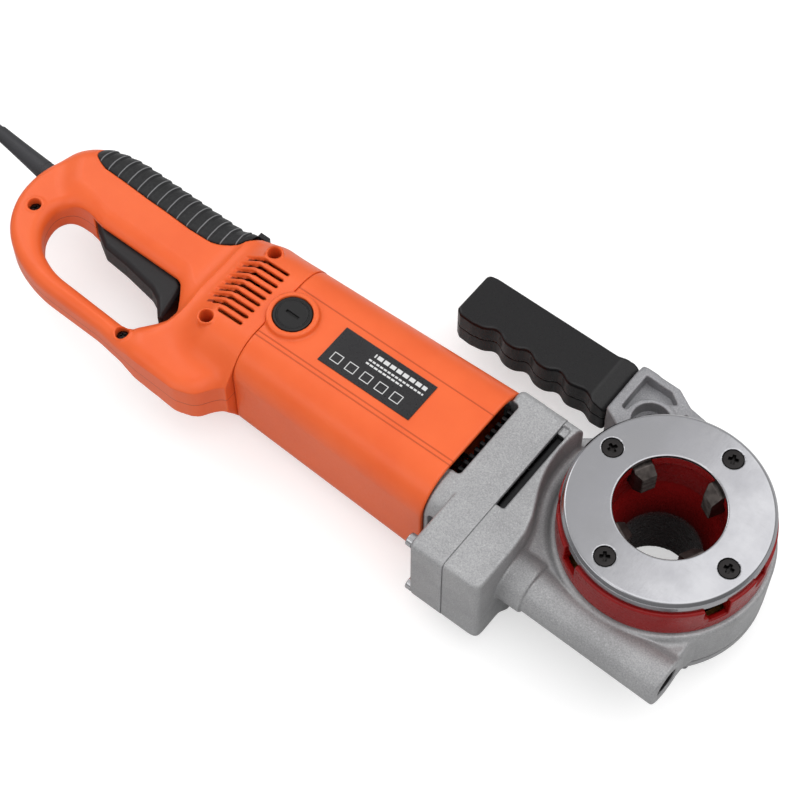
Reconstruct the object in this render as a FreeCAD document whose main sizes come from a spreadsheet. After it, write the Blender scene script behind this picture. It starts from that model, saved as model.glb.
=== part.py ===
import FreeCAD, Part
import math
import os
from FreeCAD import Vector as V, Rotation as Rot, Placement as Pl

# Portable electric pipe threader, lying on its side on the plane Z = 0.
# +Z is the axis of the die head and of the pipe, +X runs from the handle to the
# head, +Y is the side of the auxiliary grip.  Millimetres.

doc = FreeCAD.newDocument("PipeThreader")
sheet = doc.addObject("Spreadsheet::Sheet", "dims")

CELLS = [
    ("plate_radius", 58.0, "cover plate outer radius"),
    ("plate_hole", 31.35, "cover plate hole radius"),
    ("plate_base", 90.0, "underside of the cover plate"),
    ("plate_thick", 10.0, "cover plate thickness"),
    ("ring_radius", 60.6, "die head ring radius"),
    ("ring_base", 67.3, "underside of the die head ring"),
    ("pipe_radius", 24.4, "pipe guide bore radius, for a 48.3 mm pipe"),
    ("guide_radius", 29.5, "pipe guide outer radius"),
    ("spigot_radius", 45.7, "die head spigot radius"),
    ("spigot_base", 31.0, "underside of the spigot"),
    ("die_width", 12.0, "chaser width"),
    ("die_tip", 23.2, "chaser tip radius"),
    ("die_end", 50.0, "chaser outer end radius"),
    ("key_reach", 48.2, "drive key radius"),
    ("key_width", 9.4, "drive key width"),
    ("head_radius", 63.5, "gear head radius"),
    ("head_base", 30.0, "gear head underside"),
    ("head_top", 67.0, "gear head top face"),
    ("wheel_bore", 51.0, "worm wheel bore radius"),
    ("wheel_module", 2.5, "worm wheel module"),
    ("wheel_teeth", 45.0, "worm wheel teeth"),
    ("wheel_low", 46.0, "worm wheel lower face"),
    ("wheel_face", 12.0, "worm wheel face width"),
    ("wheel_cavity", 59.4, "worm wheel chamber radius"),
    ("sleeve_bore", 46.0, "drive sleeve bore radius"),
    ("worm_pitch_radius", 9.25, "worm pitch radius"),
    ("worm_length", 44.0, "worm length"),
    ("tube_bore", 12.2, "worm bore radius"),
    ("tube_small", 14.2, "worm tube radius at the gear case"),
    ("tube_large", 15.2, "worm tube radius at the front"),
    ("case_top", 84.0, "gear case top face"),
    ("case_rear", -80.0, "joint face of the gear case"),
    ("adapter_rear", -113.0, "front edge of the motor housing"),
    ("wall", 4.0, "casting wall"),
    ("gear_face", 8.0, "first gear face width"),
    ("second_face", 10.0, "second gear face width"),
    ("housing_rear", -255.0, "rear edge of the motor housing"),
    ("housing_wall", 3.2, "motor housing wall"),
    ("housing_corner", 25.0, "motor housing corner radius"),
    ("motor_height", 44.0, "motor axis height"),
    ("stator_radius", 39.5, "stator radius"),
    ("stator_bore", 25.6, "stator bore radius"),
    ("stator_length", 70.0, "stator length"),
    ("armature_radius", 24.8, "armature radius"),
    ("armature_length", 64.0, "armature length"),
    ("shaft_radius", 5.0, "armature shaft radius"),
    ("commutator_radius", 14.0, "commutator radius"),
    ("fan_radius", 37.0, "fan radius"),
    ("shell_wall", 3.0, "handle shell wall"),
    ("split_height", 44.0, "parting plane of the handle shells"),
    ("bar_half", 13.0, "half thickness of the handle loop"),
    ("grip_half", 19.0, "half thickness of the main handle"),
    ("counterbore", 4.15, "handle screw counterbore radius"),
    ("arm_top", 48.0, "support arm top face"),
    ("arm_base", 20.0, "support arm underside"),
    ("arm_web", 31.0, "support arm hub underside"),
    ("hub_radius", 15.5, "support arm hub radius"),
    ("bolt_radius", 4.0, "support arm bolt radius"),
    ("relief_large", 5.95, "strain relief radius at the handle"),
    ("relief_small", 4.8, "strain relief radius at its end"),
    ("cord_radius", 4.0, "mains cord radius"),
    ("pin_radius", 2.4, "mains plug pin radius"),
    ("pin_length", 19.0, "mains plug pin length"),
]


class Q:
    """A number together with the spreadsheet expression that gives it."""

    def __init__(self, v, e):
        self.v, self.e = float(v), e

    def _o(self, o, f, sign, flip=False):
        ov = o.v if isinstance(o, Q) else float(o)
        oe = o.e if isinstance(o, Q) else repr(float(o))
        if flip:
            return Q(f(ov, self.v), "(%s %s %s)" % (oe, sign, self.e))
        return Q(f(self.v, ov), "(%s %s %s)" % (self.e, sign, oe))

    def __add__(self, o): return self._o(o, lambda a, b: a + b, "+")
    def __radd__(self, o): return self._o(o, lambda a, b: a + b, "+", True)
    def __sub__(self, o): return self._o(o, lambda a, b: a - b, "-")
    def __rsub__(self, o): return self._o(o, lambda a, b: a - b, "-", True)
    def __mul__(self, o): return self._o(o, lambda a, b: a * b, "*")
    def __rmul__(self, o): return self._o(o, lambda a, b: a * b, "*", True)
    def __truediv__(self, o): return self._o(o, lambda a, b: a / b, "/")
    def __neg__(self): return Q(-self.v, "(0 - %s)" % self.e)
    def __float__(self): return self.v


class D:
    pass


sheet.set("A1", "name")
sheet.set("B1", "value")
sheet.set("C1", "what it is")
for i, (alias, value, note) in enumerate(CELLS, start=2):
    sheet.set("A%d" % i, alias)
    sheet.set("B%d" % i, repr(float(value)))
    sheet.set("C%d" % i, note)
    sheet.setAlias("B%d" % i, alias)
    setattr(D, alias, Q(value, "dims.%s" % alias))
doc.recompute()

NODES = {}
CHECK = []
COUNT = [0]


def uid(tag):
    COUNT[0] += 1
    return "%s_%03d" % (tag, COUNT[0])


def bind(obj, prop, q):
    if isinstance(q, Q):
        obj.setExpression(prop, q.e)
    return float(q)


AX = {
    "z": Rot(),
    "x": Rot(V(0, 1, 0), 90),
    "y": Rot(V(1, 0, 0), -90),
    "-z": Rot(V(1, 0, 0), 180),
    "-x": Rot(V(0, 1, 0), -90),
    "-y": Rot(V(1, 0, 0), 90),
}


def place(obj, at, rot=None):
    obj.Placement = Pl(V(*[float(c) for c in at]), rot or Rot())
    for k, c in zip("xyz", at):
        if isinstance(c, Q):
            obj.setExpression("Placement.Base.%s" % k, c.e)
    CHECK.append(obj)
    return obj


def rot_of(axis):
    return AX[axis] if isinstance(axis, str) else axis


def cyl(r, length, at, axis="z"):
    o = doc.addObject("Part::Cylinder", uid("cyl"))
    o.Radius = bind(o, "Radius", r)
    o.Height = bind(o, "Height", length)
    return place(o, at, rot_of(axis))


def cone(r1, r2, length, at, axis="z"):
    o = doc.addObject("Part::Cone", uid("cone"))
    o.Radius1 = bind(o, "Radius1", r1)
    o.Radius2 = bind(o, "Radius2", r2)
    o.Height = bind(o, "Height", length)
    return place(o, at, rot_of(axis))


def box(lo, hi):
    """A block from its lowest to its highest corner."""
    o = doc.addObject("Part::Box", uid("box"))
    for prop, a, b in zip(("Length", "Width", "Height"), lo, hi):
        setattr(o, prop, bind(o, prop, b - a))
    return place(o, lo)


def slab(length, width, height, at, rot):
    """A block centred across its width, starting at its placement."""
    o = doc.addObject("Part::Box", uid("slab"))
    o.Length = bind(o, "Length", length)
    o.Width = bind(o, "Width", width)
    o.Height = bind(o, "Height", height)
    w = float(width) / 2
    o.Placement = Pl(V(*[float(c) for c in at]), rot).multiply(Pl(V(0, -w, 0), Rot()))
    CHECK.append(o)
    return o


def fuse(*objs):
    if len(objs) == 1:
        return objs[0]
    o = doc.addObject("Part::MultiFuse", uid("fuse"))
    o.Shapes = list(objs)
    o.Refine = True
    CHECK.append(o)
    return o


def cut(base, *tools):
    o = doc.addObject("Part::Cut", uid("cut"))
    o.Base = base
    o.Tool = fuse(*tools)
    o.Refine = True
    CHECK.append(o)
    return o


def common(a, b):
    o = doc.addObject("Part::Common", uid("common"))
    o.Base, o.Tool = a, b
    o.Refine = True
    CHECK.append(o)
    return o


def group(*objs):
    """Identical pieces that stay separate solids in one node."""
    o = doc.addObject("Part::Compound", uid("group"))
    o.Links = list(objs)
    CHECK.append(o)
    return o


def node(name, obj):
    obj.Label = name
    NODES[name] = obj
    return obj


def lines(points):
    """Closed outline of straight runs; a third number rounds the corner."""
    pts = [tuple(p) + (0,) * (3 - len(p)) for p in points]
    n = len(pts)
    geo, ends = [], []
    for i in range(n):
        p = V(pts[i][0], pts[i][1], 0)
        r = pts[i][2]
        a = V(pts[i - 1][0], pts[i - 1][1], 0)
        b = V(pts[(i + 1) % n][0], pts[(i + 1) % n][1], 0)
        if r <= 0:
            ends.append((p, p, None))
            continue
        u, w = (a - p), (b - p)
        lim = 0.49 * min(u.Length, w.Length)
        u.normalize()
        w.normalize()
        half = math.acos(max(-1, min(1, u.dot(w)))) / 2
        t = min(r / math.tan(half), lim)
        r = t * math.tan(half)
        s, e = p + u * t, p + w * t
        bis = u + w
        bis.normalize()
        c = p + bis * (r / math.sin(half))
        ends.append((s, e, (c, r)))
    for i in range(n):
        s, e, arc = ends[i]
        if arc:
            c, r = arc
            a0 = math.atan2(s.y - c.y, s.x - c.x)
            a1 = math.atan2(e.y - c.y, e.x - c.x)
            if (a1 - a0) % (2 * math.pi) > math.pi:
                a0, a1 = a1, a0
            geo.append(Part.ArcOfCircle(Part.Circle(c, V(0, 0, 1), r), a0, a1 if a1 > a0 else a1 + 2 * math.pi))
        nxt = ends[(i + 1) % n][0]
        if (nxt - e).Length > 1e-6:
            geo.append(Part.LineSegment(e, nxt))
    return geo


def ring_of(cx, cy, r):
    return [Part.Circle(V(cx, cy, 0), V(0, 0, 1), r)]


def sketch(body, role, geo, offset=0.0):
    s = body.newObject("Sketcher::SketchObject", uid("sketch"))
    plane = [f for f in body.Origin.OriginFeatures if f.Role == role][0]
    s.AttachmentSupport = (plane, "")
    s.MapMode = "FlatFace"
    s.AttachmentOffset = Pl(V(0, 0, float(offset)), Rot())
    if isinstance(offset, Q):
        s.setExpression("AttachmentOffset.Base.z", offset.e)
    s.addGeometry(geo, False)
    CHECK.append(s)
    return s


def newbody():
    b = doc.addObject("PartDesign::Body", uid("body"))
    CHECK.append(b)
    return b


def prism(role, lo, hi, *loops):
    """Pad of one outline, with any holes, from lo to hi along the plane's normal."""
    b = newbody()
    geo = []
    for lp in loops:
        geo += lp
    s = sketch(b, role, geo, lo)
    p = b.newObject("PartDesign::Pad", uid("pad"))
    p.Profile = s
    p.Length = bind(p, "Length", hi - lo)
    CHECK.append(p)
    return b


def plan(lo, hi, *loops):
    return prism("XY_Plane", lo, hi, *loops)


def section(lo, hi, *loops):
    return prism("YZ_Plane", lo, hi, *loops)


def turned(profile, at=(0, 0, 0), axis="z"):
    """Solid of revolution; the profile is (radius, height along the axis)."""
    b = newbody()
    s = sketch(b, "XZ_Plane", lines(profile))
    r = b.newObject("PartDesign::Revolution", uid("turn"))
    r.Profile = s
    r.ReferenceAxis = (s, ["V_Axis"])
    r.Angle = 360
    CHECK.append(r)
    return place(b, at, rot_of(axis))


def loft(first, second, x1, x2, inner=None):
    b = newbody()
    s1 = sketch(b, "YZ_Plane", lines(first), x1)
    s2 = sketch(b, "YZ_Plane", lines(second), x2)
    lo = b.newObject("PartDesign::AdditiveLoft", uid("loft"))
    lo.Profile = s1
    lo.Sections = [s2]
    lo.Ruled = True
    CHECK.append(lo)
    if inner:
        s3 = sketch(b, "YZ_Plane", lines(inner[0]), x1)
        s4 = sketch(b, "YZ_Plane", lines(inner[1]), x2)
        su = b.newObject("PartDesign::SubtractiveLoft", uid("hollow"))
        su.Profile = s3
        su.Sections = [s4]
        su.Ruled = True
        CHECK.append(su)
    return b


def rect(y0, z0, y1, z1, r=0.0):
    return [(y0, z0, r), (y1, z0, r), (y1, z1, r), (y0, z1, r)]


def inset(points, dist):
    """The same outline moved inwards by dist."""
    pts = [tuple(p) + (0,) * (3 - len(p)) for p in points]
    n = len(pts)
    area = sum(pts[i - 1][0] * pts[i][1] - pts[i][0] * pts[i - 1][1] for i in range(n)) / 2
    sgn = 1 if area > 0 else -1
    out = []
    for i in range(n):
        p, a, b = pts[i], pts[i - 1], pts[(i + 1) % n]
        d1 = V(p[0] - a[0], p[1] - a[1], 0)
        d2 = V(b[0] - p[0], b[1] - p[1], 0)
        d1.normalize()
        d2.normalize()
        n1, n2 = V(-d1.y, d1.x, 0) * sgn, V(-d2.y, d2.x, 0) * sgn
        k = dist / (1 + n1.dot(n2))
        out.append((p[0] + (n1.x + n2.x) * k, p[1] + (n1.y + n2.y) * k, max(0.0, p[2] - dist * (1 if p[2] > dist else 0))))
    return out


def involute(module, teeth, pressure, addendum, dedendum, backlash, phase):
    """Closed outline of a spur gear; phase is the angle of the first tooth's centre."""
    rp = module * teeth / 2
    rb = rp * math.cos(pressure)
    ra, rf = rp + addendum, rp - dedendum
    inv = lambda a: math.tan(a) - a
    half = math.pi / (2 * teeth) - backlash / (2 * rp)
    pts = []
    for k in range(int(teeth)):
        c = phase + 2 * math.pi * k / teeth
        flank = []
        r0 = max(rb, rf)
        for j in range(5):
            r = r0 + (ra - r0) * j / 4
            al = math.acos(min(1.0, rb / r))
            flank.append((r, half + inv(pressure) - inv(al)))
        if rf < rb:
            flank = [(rf, flank[0][1])] + flank
        for r, a in flank:
            pts.append((r * math.cos(c - a), r * math.sin(c - a)))
        for r, a in reversed(flank):
            pts.append((r * math.cos(c + a), r * math.sin(c + a)))
    return pts


# ---------------------------------------------------------------- gear layout
MY, MZ = -26.7, 44.0           # motor axis
WY, WZ = -65.5, 52.0           # worm axis
PA = math.radians(25)
C1, C2 = 24.0, 31.25           # centre distances of the two spur pairs
d12 = math.hypot(WY - MY, WZ - MZ)
t12 = (C1 ** 2 - C2 ** 2 + d12 ** 2) / (2 * d12)
h12 = math.sqrt(C1 ** 2 - t12 ** 2)
uy, uz = (WY - MY) / d12, (WZ - MZ) / d12
IY, IZ = MY + uy * t12 + uz * h12, MZ + uz * t12 - uy * h12
if IZ > MZ:
    IY, IZ = MY + uy * t12 - uz * h12, MZ + uz * t12 + uy * h12
A1 = math.atan2(IZ - MZ, IY - MY)
A2 = math.atan2(WZ - IZ, WY - IY)


def gear_x(module, teeth, add, ded, phase, cy, cz, lo, hi, bore=None, shaft=None):
    """Spur gear about an axis along X, padded as one toothed outline."""
    b = newbody()
    pts = involute(module, teeth, PA, add, ded, 0.24, phase)
    geo = lines([(y, z) for y, z in pts])
    if bore:
        geo += ring_of(0, 0, bore)
    s = sketch(b, "YZ_Plane", geo)
    p = b.newObject("PartDesign::Pad", uid("pad"))
    p.Profile = s
    p.Length = bind(p, "Length", hi - lo)
    CHECK.append(p)
    return place(b, (lo, cy, cz))


# ---------------------------------------------------------------- motor housing
HF = rect(MY - 48.2, -0.4, MY + 48.2, 88.0, 25.0)
HR = rect(MY - 43.7, -0.4, MY + 43.7, 84.0, 23.0)
w = float(D.housing_wall)
HFi = rect(MY - 48.2 + w, w, MY + 48.2 - w, 88.0 - w, 25.0 - w)
HRi = rect(MY - 43.7 + w, w, MY + 43.7 - w, 84.0 - w, 23.0 - w)
CAPX = -244.5
tube = loft(HR, HF, D.housing_rear, D.adapter_rear, inner=(HRi, HFi))
ribs = [box((-224, MY + s * 42.6 - 3.0, 40.5), (-156, MY + s * 42.6 + 3.0, 47.5)) for s in (-1, 1)]
boss_up = cyl(15.5, 16.3, (CAPX, MY, 70.0))
boss_dn = cyl(15.5, 14.0, (CAPX, MY, 0.6))
node("motor_housing", cut(fuse(tube, *ribs, boss_up, boss_dn),
                          cyl(12.2, 30, (CAPX, MY, 70)), cyl(12.2, 30, (CAPX, MY, -12)),
                          cyl(D.stator_radius + 0.05, 90, (-234, MY, MZ), "x"),
                          box((-262.0, -120.0, -6.0), (-100.0, 60.0, 0.0))))   # flat underside that the machine rests on

# blank rating plate on the top face
label = box((-215.0, MY - 13.5, 85.15), (-149.0, MY + 13.5, 85.65))
label.Placement = Pl(V(-215.0, MY - 13.5, 85.15), Rot(V(0, 1, 0), -math.degrees(math.atan2(4.0, 142.0))))
node("rating_label", label)

# ---------------------------------------------------------------- brush gear
node("brush_cap_upper", cut(cyl(11.8, 12, (CAPX, MY, 75.2)), box((CAPX - 3.5, MY - 0.7, 86.2), (CAPX + 3.5, MY + 0.7, 90))))
node("brush_cap_lower", cut(cyl(11.8, 11.5, (CAPX, MY, 1.2)), box((CAPX - 3.5, MY - 0.7, 0), (CAPX + 3.5, MY + 0.7, 2.2))))
cr = D.commutator_radius
hold, brush, spring = [], [], []
for s in (1, -1):
    z0 = MZ + s * (float(cr) + 3.0)
    z1 = MZ + s * 31.0
    za, zb = sorted((z0, z1))
    outer = fuse(box((CAPX - 6, MY - 4.5, za), (CAPX + 6, MY + 4.5, zb)), cyl(12.1, 2.0, (CAPX, MY, MZ + s * 30.0 - 1.0)))
    hold.append(cut(outer, box((CAPX - 4.6, MY - 3.1, za - 5), (CAPX + 4.6, MY + 3.1, zb + 5))))
    za, zb = sorted((MZ + s * (float(cr) + 0.3), MZ + s * 27.0))
    brush.append(box((CAPX - 4.5, MY - 3.0, za), (CAPX + 4.5, MY + 3.0, zb)))
    za, zb = sorted((MZ + s * 27.1, MZ + s * 30.8))
    spring.append(cut(cyl(2.8, zb - za, (CAPX, MY, za)), cyl(2.1, 20, (CAPX, MY, za - 5))))
node("brush_holders", group(*hold))
node("carbon_brushes", group(*brush))
node("brush_springs", group(*spring))

# ---------------------------------------------------------------- stator and armature
sx = -225.0
node("field_stator", cut(cyl(D.stator_radius, D.stator_length, (sx, MY, MZ), "x"),
                         cyl(D.stator_bore, 90, (sx - 5, MY, MZ), "x"),
                         *[box((sx - 5, MY + s * 30 - 3.5, MZ - 18), (sx + 75, MY + s * 30 + 3.5, MZ + 18)) for s in (-1, 1)]))
node("field_windings", group(*[
    cut(cyl(36.5, ln, (x, MY, MZ), "x"), cyl(27, 12, (x - 1, MY, MZ), "x")) for x, ln in ((-228.6, 3.5), (-154.9, 9.0))]))
ax0 = -222.0
node("armature_core", cut(cyl(D.armature_radius, D.armature_length, (ax0, MY, MZ), "x"),
                          cyl(D.shaft_radius, 80, (ax0 - 5, MY, MZ), "x"),
                          *[cyl(2.2, 80, (ax0 - 5, MY + 21.5 * math.cos(a), MZ + 21.5 * math.sin(a)), "x")
                            for a in [math.pi / 6 * k for k in range(12)]]))
node("armature_windings", group(*[
    cut(cyl(20.5, 8, (x, MY, MZ), "x"), cyl(D.shaft_radius, 20, (x - 5, MY, MZ), "x")) for x in (-230.1, -157.9)]))
node("commutator", cut(cyl(cr, 16, (-253, MY, MZ), "x"), cyl(D.shaft_radius, 30, (-260, MY, MZ), "x")))
fan_parts = [cyl(D.fan_radius, 2.0, (-140.5, MY, MZ), "x"), cyl(9.0, 12, (-140.5, MY, MZ), "x")]
for k in range(10):
    a = 36.0 * k
    o = doc.addObject("Part::Box", uid("blade"))
    o.Length, o.Width, o.Height = 9.0, 1.6, 27.0
    o.Placement = Pl(V(-139.0, MY, MZ), Rot(V(1, 0, 0), a)).multiply(Pl(V(0, -0.8, 8.0), Rot()))
    CHECK.append(o)
    fan_parts.append(o)
node("cooling_fan", cut(fuse(*fan_parts), cyl(D.shaft_radius, 30, (-150, MY, MZ), "x")))
pinion = gear_x(1.0, 8, 0.8, 1.0, A1, MY, MZ, -93.0, -80.8)
node("armature_shaft", fuse(cyl(D.shaft_radius, 165.0, (-268.0, MY, MZ), "x"),
                            cyl(2.9, 12.0, (-103.5, MY, MZ), "x"), pinion))
node("armature_bearings", group(
    turned([(5.05, 0), (11.0, 0), (11.0, 8.0), (5.05, 8.0)], (-267.5, MY, MZ), "x"),
    turned([(5.05, 0), (13.0, 0), (13.0, 8.0), (5.05, 8.0)], (-111.5, MY, MZ), "x")))

# ---------------------------------------------------------------- gear case section and plan
SEC = [(18.5, 84.0, 5), (-99.0, 84.0, 5), (-99.0, 14.0, 13), (-76.0, 14.0, 6), (-66.0, 2.0, 6), (18.5, 2.0, 10)]
SECI = inset(SEC, 4.0)
ARC = [(-71.9 * math.cos(math.radians(a)), 71.9 * math.sin(math.radians(a))) for a in (12, 4, -4, -12, -20, -28)]
CASE = [(-80.0, 18.5), (-67.5, 18.5, 3)] + ARC + [(-59.2, -43.0), (-56.4, -53.0), (-55.4, -66.0), (-55.4, -99.0, 6), (-80.0, -99.0)]
IDLER_BUSH = (-66.5, IY, IZ)

# ---------------------------------------------------------------- adapter
CASE_SCREWS = ((-94.2, 78.5), (-94.2, 22.0), (12.0, 78.0), (12.0, 10.0))
frame_out = rect(MY - 46.2, 2.0, MY + 45.2, 84.0, 23.0)
spigot = rect(MY - 44.2, 4.2, MY + 44.2, 83.0, 20.0)
adapter = fuse(section(-121.0, -112.0, lines(spigot)),
               section(D.adapter_rear + 0.3, -98.0, lines(frame_out)),
               section(-102.0, D.case_rear, lines(SEC)))
node("gearcase_adapter", cut(
    adapter,
    section(-122.0, -113.5, lines(rect(MY - 40.5, 8.0, MY + 40.5, 79.5, 17.0))),
    section(-99.0, -79.0, lines(SECI)),
    cyl(13.0, 12.0, (-123.5, MY, MZ), "x"), cyl(13.0, 10.0, (-113.0, MY, MZ), "x"), cyl(7.0, 12, (-108, MY, MZ), "x"),
    cyl(5.0, 8.0, (-105.5, IY, IZ), "x"),
    box((-112.9, -48.0, 74.0), (-107.4, 8.0, 90.0)),
    box((-109.5, -110.0, 14.0), (-104.8, -66.5, 68.0)),
    *[cyl(4.3, 11.2, (-113.2, y, z), "x") for y, z in ((12.0, 78.0), (12.0, 10.0))],
    *[cyl(2.2, 24, (-103, y, z), "x") for y, z in CASE_SCREWS]))

# ---------------------------------------------------------------- gear head casting
case_front = common(plan(0.0, 90.0, lines(CASE)), section(D.case_rear, -50.0, lines(SEC)))
pan = cyl(D.head_radius, D.head_top - D.head_base, (0, 0, D.head_base))
web = plan(D.head_base, D.head_top, lines([(-62, -66.5), (48, -66.5, 1), (48.6, -40.8), (0, 0), (-41, 48.5), (-79, 18.4), (-79, -66.5)]))
collar = cone(15.6, 15.2, 18.0, (-58.0, WY, WZ), "x")
tube = cone(D.tube_small, D.tube_large, 92.0, (-42.0, WY, WZ), "x")
lug = plan(21.0, 30.4, lines([(-62.0, 52.0, 6), (-62.0, 77.5, 9), (-40.0, 77.5, 9), (-22.0, 85.0, 9), (-4.0, 85.0, 9), (-2.0, 40.0), (-42.0, 30.0)]))
lug_hold = common(lug, cyl(200.0, 40.0, (0, 0, 10)))
head = cut(fuse(case_front, pan, web, collar, tube, cut(lug_hold, cyl(59.5, 30.0, (0, 0, 8)))),
           cyl(D.wheel_cavity, 31.0, (0, 0, 29.5)),
           cyl(56.0, 20, (0, 0, 55.0)),
           cyl(D.tube_bore, 86.0, (-52.0, WY, WZ), "x"),
           cyl(11.0, 20.0, (26.0, WY, WZ), "x"),
           cyl(8.9, 20.0, (40.0, WY, WZ), "x"),
           cyl(11.0, 19.0, (-70.5, WY, WZ), "x"),
           cyl(27.2, 12.0, (-81.0, WY, WZ), "x"),
           cyl(7.8, 13.5, (-81.0, IY, IZ), "x"),
           cyl(7.0, 7.0, (-68.5, IY, IZ), "x"),
           cyl(3.3, 20.0, (-50.9, 63.6, 15.0)), cyl(3.3, 20.0, (-14.0, 74.0, 15.0)),
           *[cyl(1.7, 14, (-81, y, z), "x") for y, z in CASE_SCREWS],
           box((-79.9, -50.0, 82.4), (-74.4, 13.0, 90.0)),
           *[cyl(1.3, 9, (61.4 * math.cos(a), 61.4 * math.sin(a), 29.0)) for a in [math.radians(20 + 60 * k) for k in range(6)]])
node("gear_head_casting", head)

node("worm_end_plug", cut(cyl(8.85, 4.0, (45.2, WY, WZ), "x"), cyl(6.6, 3.0, (47.8, WY, WZ), "x")))
cover = fuse(turned([(31.0, 24.0), (63.3, 24.0, 1), (63.3, 29.9), (59.2, 29.9), (59.2, 44.8), (55.2, 44.8), (55.2, 27.5), (31.0, 27.5)]))
node("head_bottom_cover", cut(cover, *[cyl(1.6, 12, (61.4 * math.cos(a), 61.4 * math.sin(a), 22.0)) for a in [math.radians(20 + 60 * k) for k in range(6)]],
                              cut(box((-75, 25.0, 20.0), (1.5, 90.0, 30.1)), cyl(59.3, 30, (0, 0, 10))),
                              box((-26.0, -70.0, 39.0), (26.0, -50.0, 50.0))))
node("head_cover_screws", group(*[
    turned([(0, 0), (1.25, 0), (1.25, 6.0), (2.4, 6.0), (2.4, 8.0, 0.6), (0, 8.0)],
           (61.2 * math.cos(a), 61.2 * math.sin(a), 30.0), "-z")
    for a in [math.radians(20 + 60 * k) for k in (0, 3, 4, 5)]]))

# ---------------------------------------------------------------- worm shaft
lead = math.pi * float(D.wheel_module)
rp = float(D.worm_pitch_radius)
root, tip = rp - 2.7, rp + 2.15
flank = math.tan(math.radians(20))
hw = lead / 4 - 0.32
rr = root - 0.3
prof = Part.makePolygon([V(rr, 0, -(hw + (rp - rr) * flank)), V(tip, 0, -(hw - (tip - rp) * flank)),
                         V(tip, 0, (hw - (tip - rp) * flank)), V(rr, 0, (hw + (rp - rr) * flank)),
                         V(rr, 0, -(hw + (rp - rr) * flank))])
turns = 4
helix = Part.makeHelix(lead, lead * turns, rp)
thread = Part.Wire(helix).makePipeShell([prof], True, True)
core = Part.makeCylinder(root, lead * (turns + 1.6), V(0, 0, -lead * 0.8))
shape = core.fuse(thread)
shape.translate(V(0, 0, -lead * turns / 2))
# the helix starts on local +X; turn the worm so that its crest faces the wheel at mid length
shape = shape.removeSplitter() if shape.isValid() else shape
worm = doc.addObject("Part::Feature", "worm_thread")
worm.Shape = shape
worm.Placement = Pl(V(0, WY, WZ), Rot(V(0, 1, 0), V(0, 0, 1), V(1, 0, 0), "ZXY"))
CHECK.append(worm)
m = worm.Placement.Rotation
crest = m.multVec(V(1, 0, 0))
axis_dir = m.multVec(V(0, 0, 1))
print("worm: local x goes to", tuple(round(c, 3) for c in crest), "axis", tuple(round(c, 3) for c in axis_dir), "valid", shape.isValid())
node("worm_shaft", fuse(worm, cyl(5.0, 127.0, (-82.0, WY, WZ), "x")))
gear2 = gear_x(1.25, 40, 1.0, 1.35, A2 + math.pi + math.pi / 40, WY, WZ, -79.6, -79.6 + D.second_face, bore=5.0)
node("worm_gear", gear2)
node("worm_bearings", group(
    turned([(5.05, 0), (11.0, 0), (11.0, 8.0), (5.05, 8.0)], (-62.5, WY, WZ), "x"),
    turned([(5.05, 0), (11.0, 0), (11.0, 8.0), (5.05, 8.0)], (36.5, WY, WZ), "x")))

# ---------------------------------------------------------------- idler
node("idler_gear", gear_x(1.0, 40, 0.7, 1.1, A1 + math.pi + math.pi / 40, IY, IZ, -91.0, -91.0 + D.gear_face, bore=4.0))
node("idler_shaft", fuse(cyl(4.0, 26.0, (-105.0, IY, IZ), "x"), cyl(4.0, 6.0, (-68.3, IY, IZ), "x"),
                         gear_x(1.25, 10, 1.0, 1.35, A2, IY, IZ, -80.5, -68.0)))
node("idler_bushes", group(
    turned([(4.05, 0), (5.0, 0), (5.0, 6.0), (4.05, 6.0)], (-105.3, IY, IZ), "x"),
    turned([(4.05, 0), (7.0, 0), (7.0, 5.0), (4.05, 5.0)], (-67.2, IY, IZ), "x")))

# ---------------------------------------------------------------- drive ring
N = int(float(D.wheel_teeth))
tooth = involute(float(D.wheel_module), N, math.radians(20), 2.0, 2.55, 0.62, 0.0)


def wheel_wire(z, turn):
    c, s = math.cos(turn), math.sin(turn)
    pts = [V(x * c - y * s, x * s + y * c, z) for x, y in tooth]
    return Part.makePolygon(pts + [pts[0]])


zc = WZ
z0, z1 = float(D.wheel_low), float(D.wheel_low + D.wheel_face)
twist = (lead / (2 * math.pi * rp)) / (float(D.wheel_module) * N / 2)
base = -math.pi / 2 + math.pi / N
blank = Part.makeLoft([wheel_wire(z0, base + twist * (z0 - zc)), wheel_wire(z1, base + twist * (z1 - zc))], True, True)
wheel_teeth = doc.addObject("Part::Feature", "wheel_blank")
wheel_teeth.Shape = blank
CHECK.append(wheel_teeth)
node("worm_wheel", cut(wheel_teeth, cyl(D.wheel_bore, 40, (0, 0, 30))))
sleeve = fuse(cyl(D.wheel_bore, 36.2, (0, 0, 30.2)))
node("drive_sleeve", cut(sleeve, cyl(D.sleeve_bore, 40, (0, 0, 29)),
                         *[slab(48.6, D.key_width + 0.6, 40, (0, 0, 35.6), Rot(V(0, 0, 1), a)) for a in (18, 108, 198, 288)],
                         cut(cyl(47.6, 1.8, (0, 0, 32.2)), cyl(40, 5, (0, 0, 31)))))
node("die_retaining_ring", cut(cyl(47.5, 1.4, (0, 0, 32.4)), cyl(46.05, 5, (0, 0, 31)),
                               slab(60, 6, 6, (0, 0, 30), Rot(V(0, 0, 1), 63))))
node("drive_ring_bushes", group(
    turned([(51.08, 28.0), (55.2, 28.0), (55.2, 44.6), (51.08, 44.6)]),
    turned([(51.08, 60.0), (56.0, 60.0), (56.0, 66.6), (51.08, 66.6)])))

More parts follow.
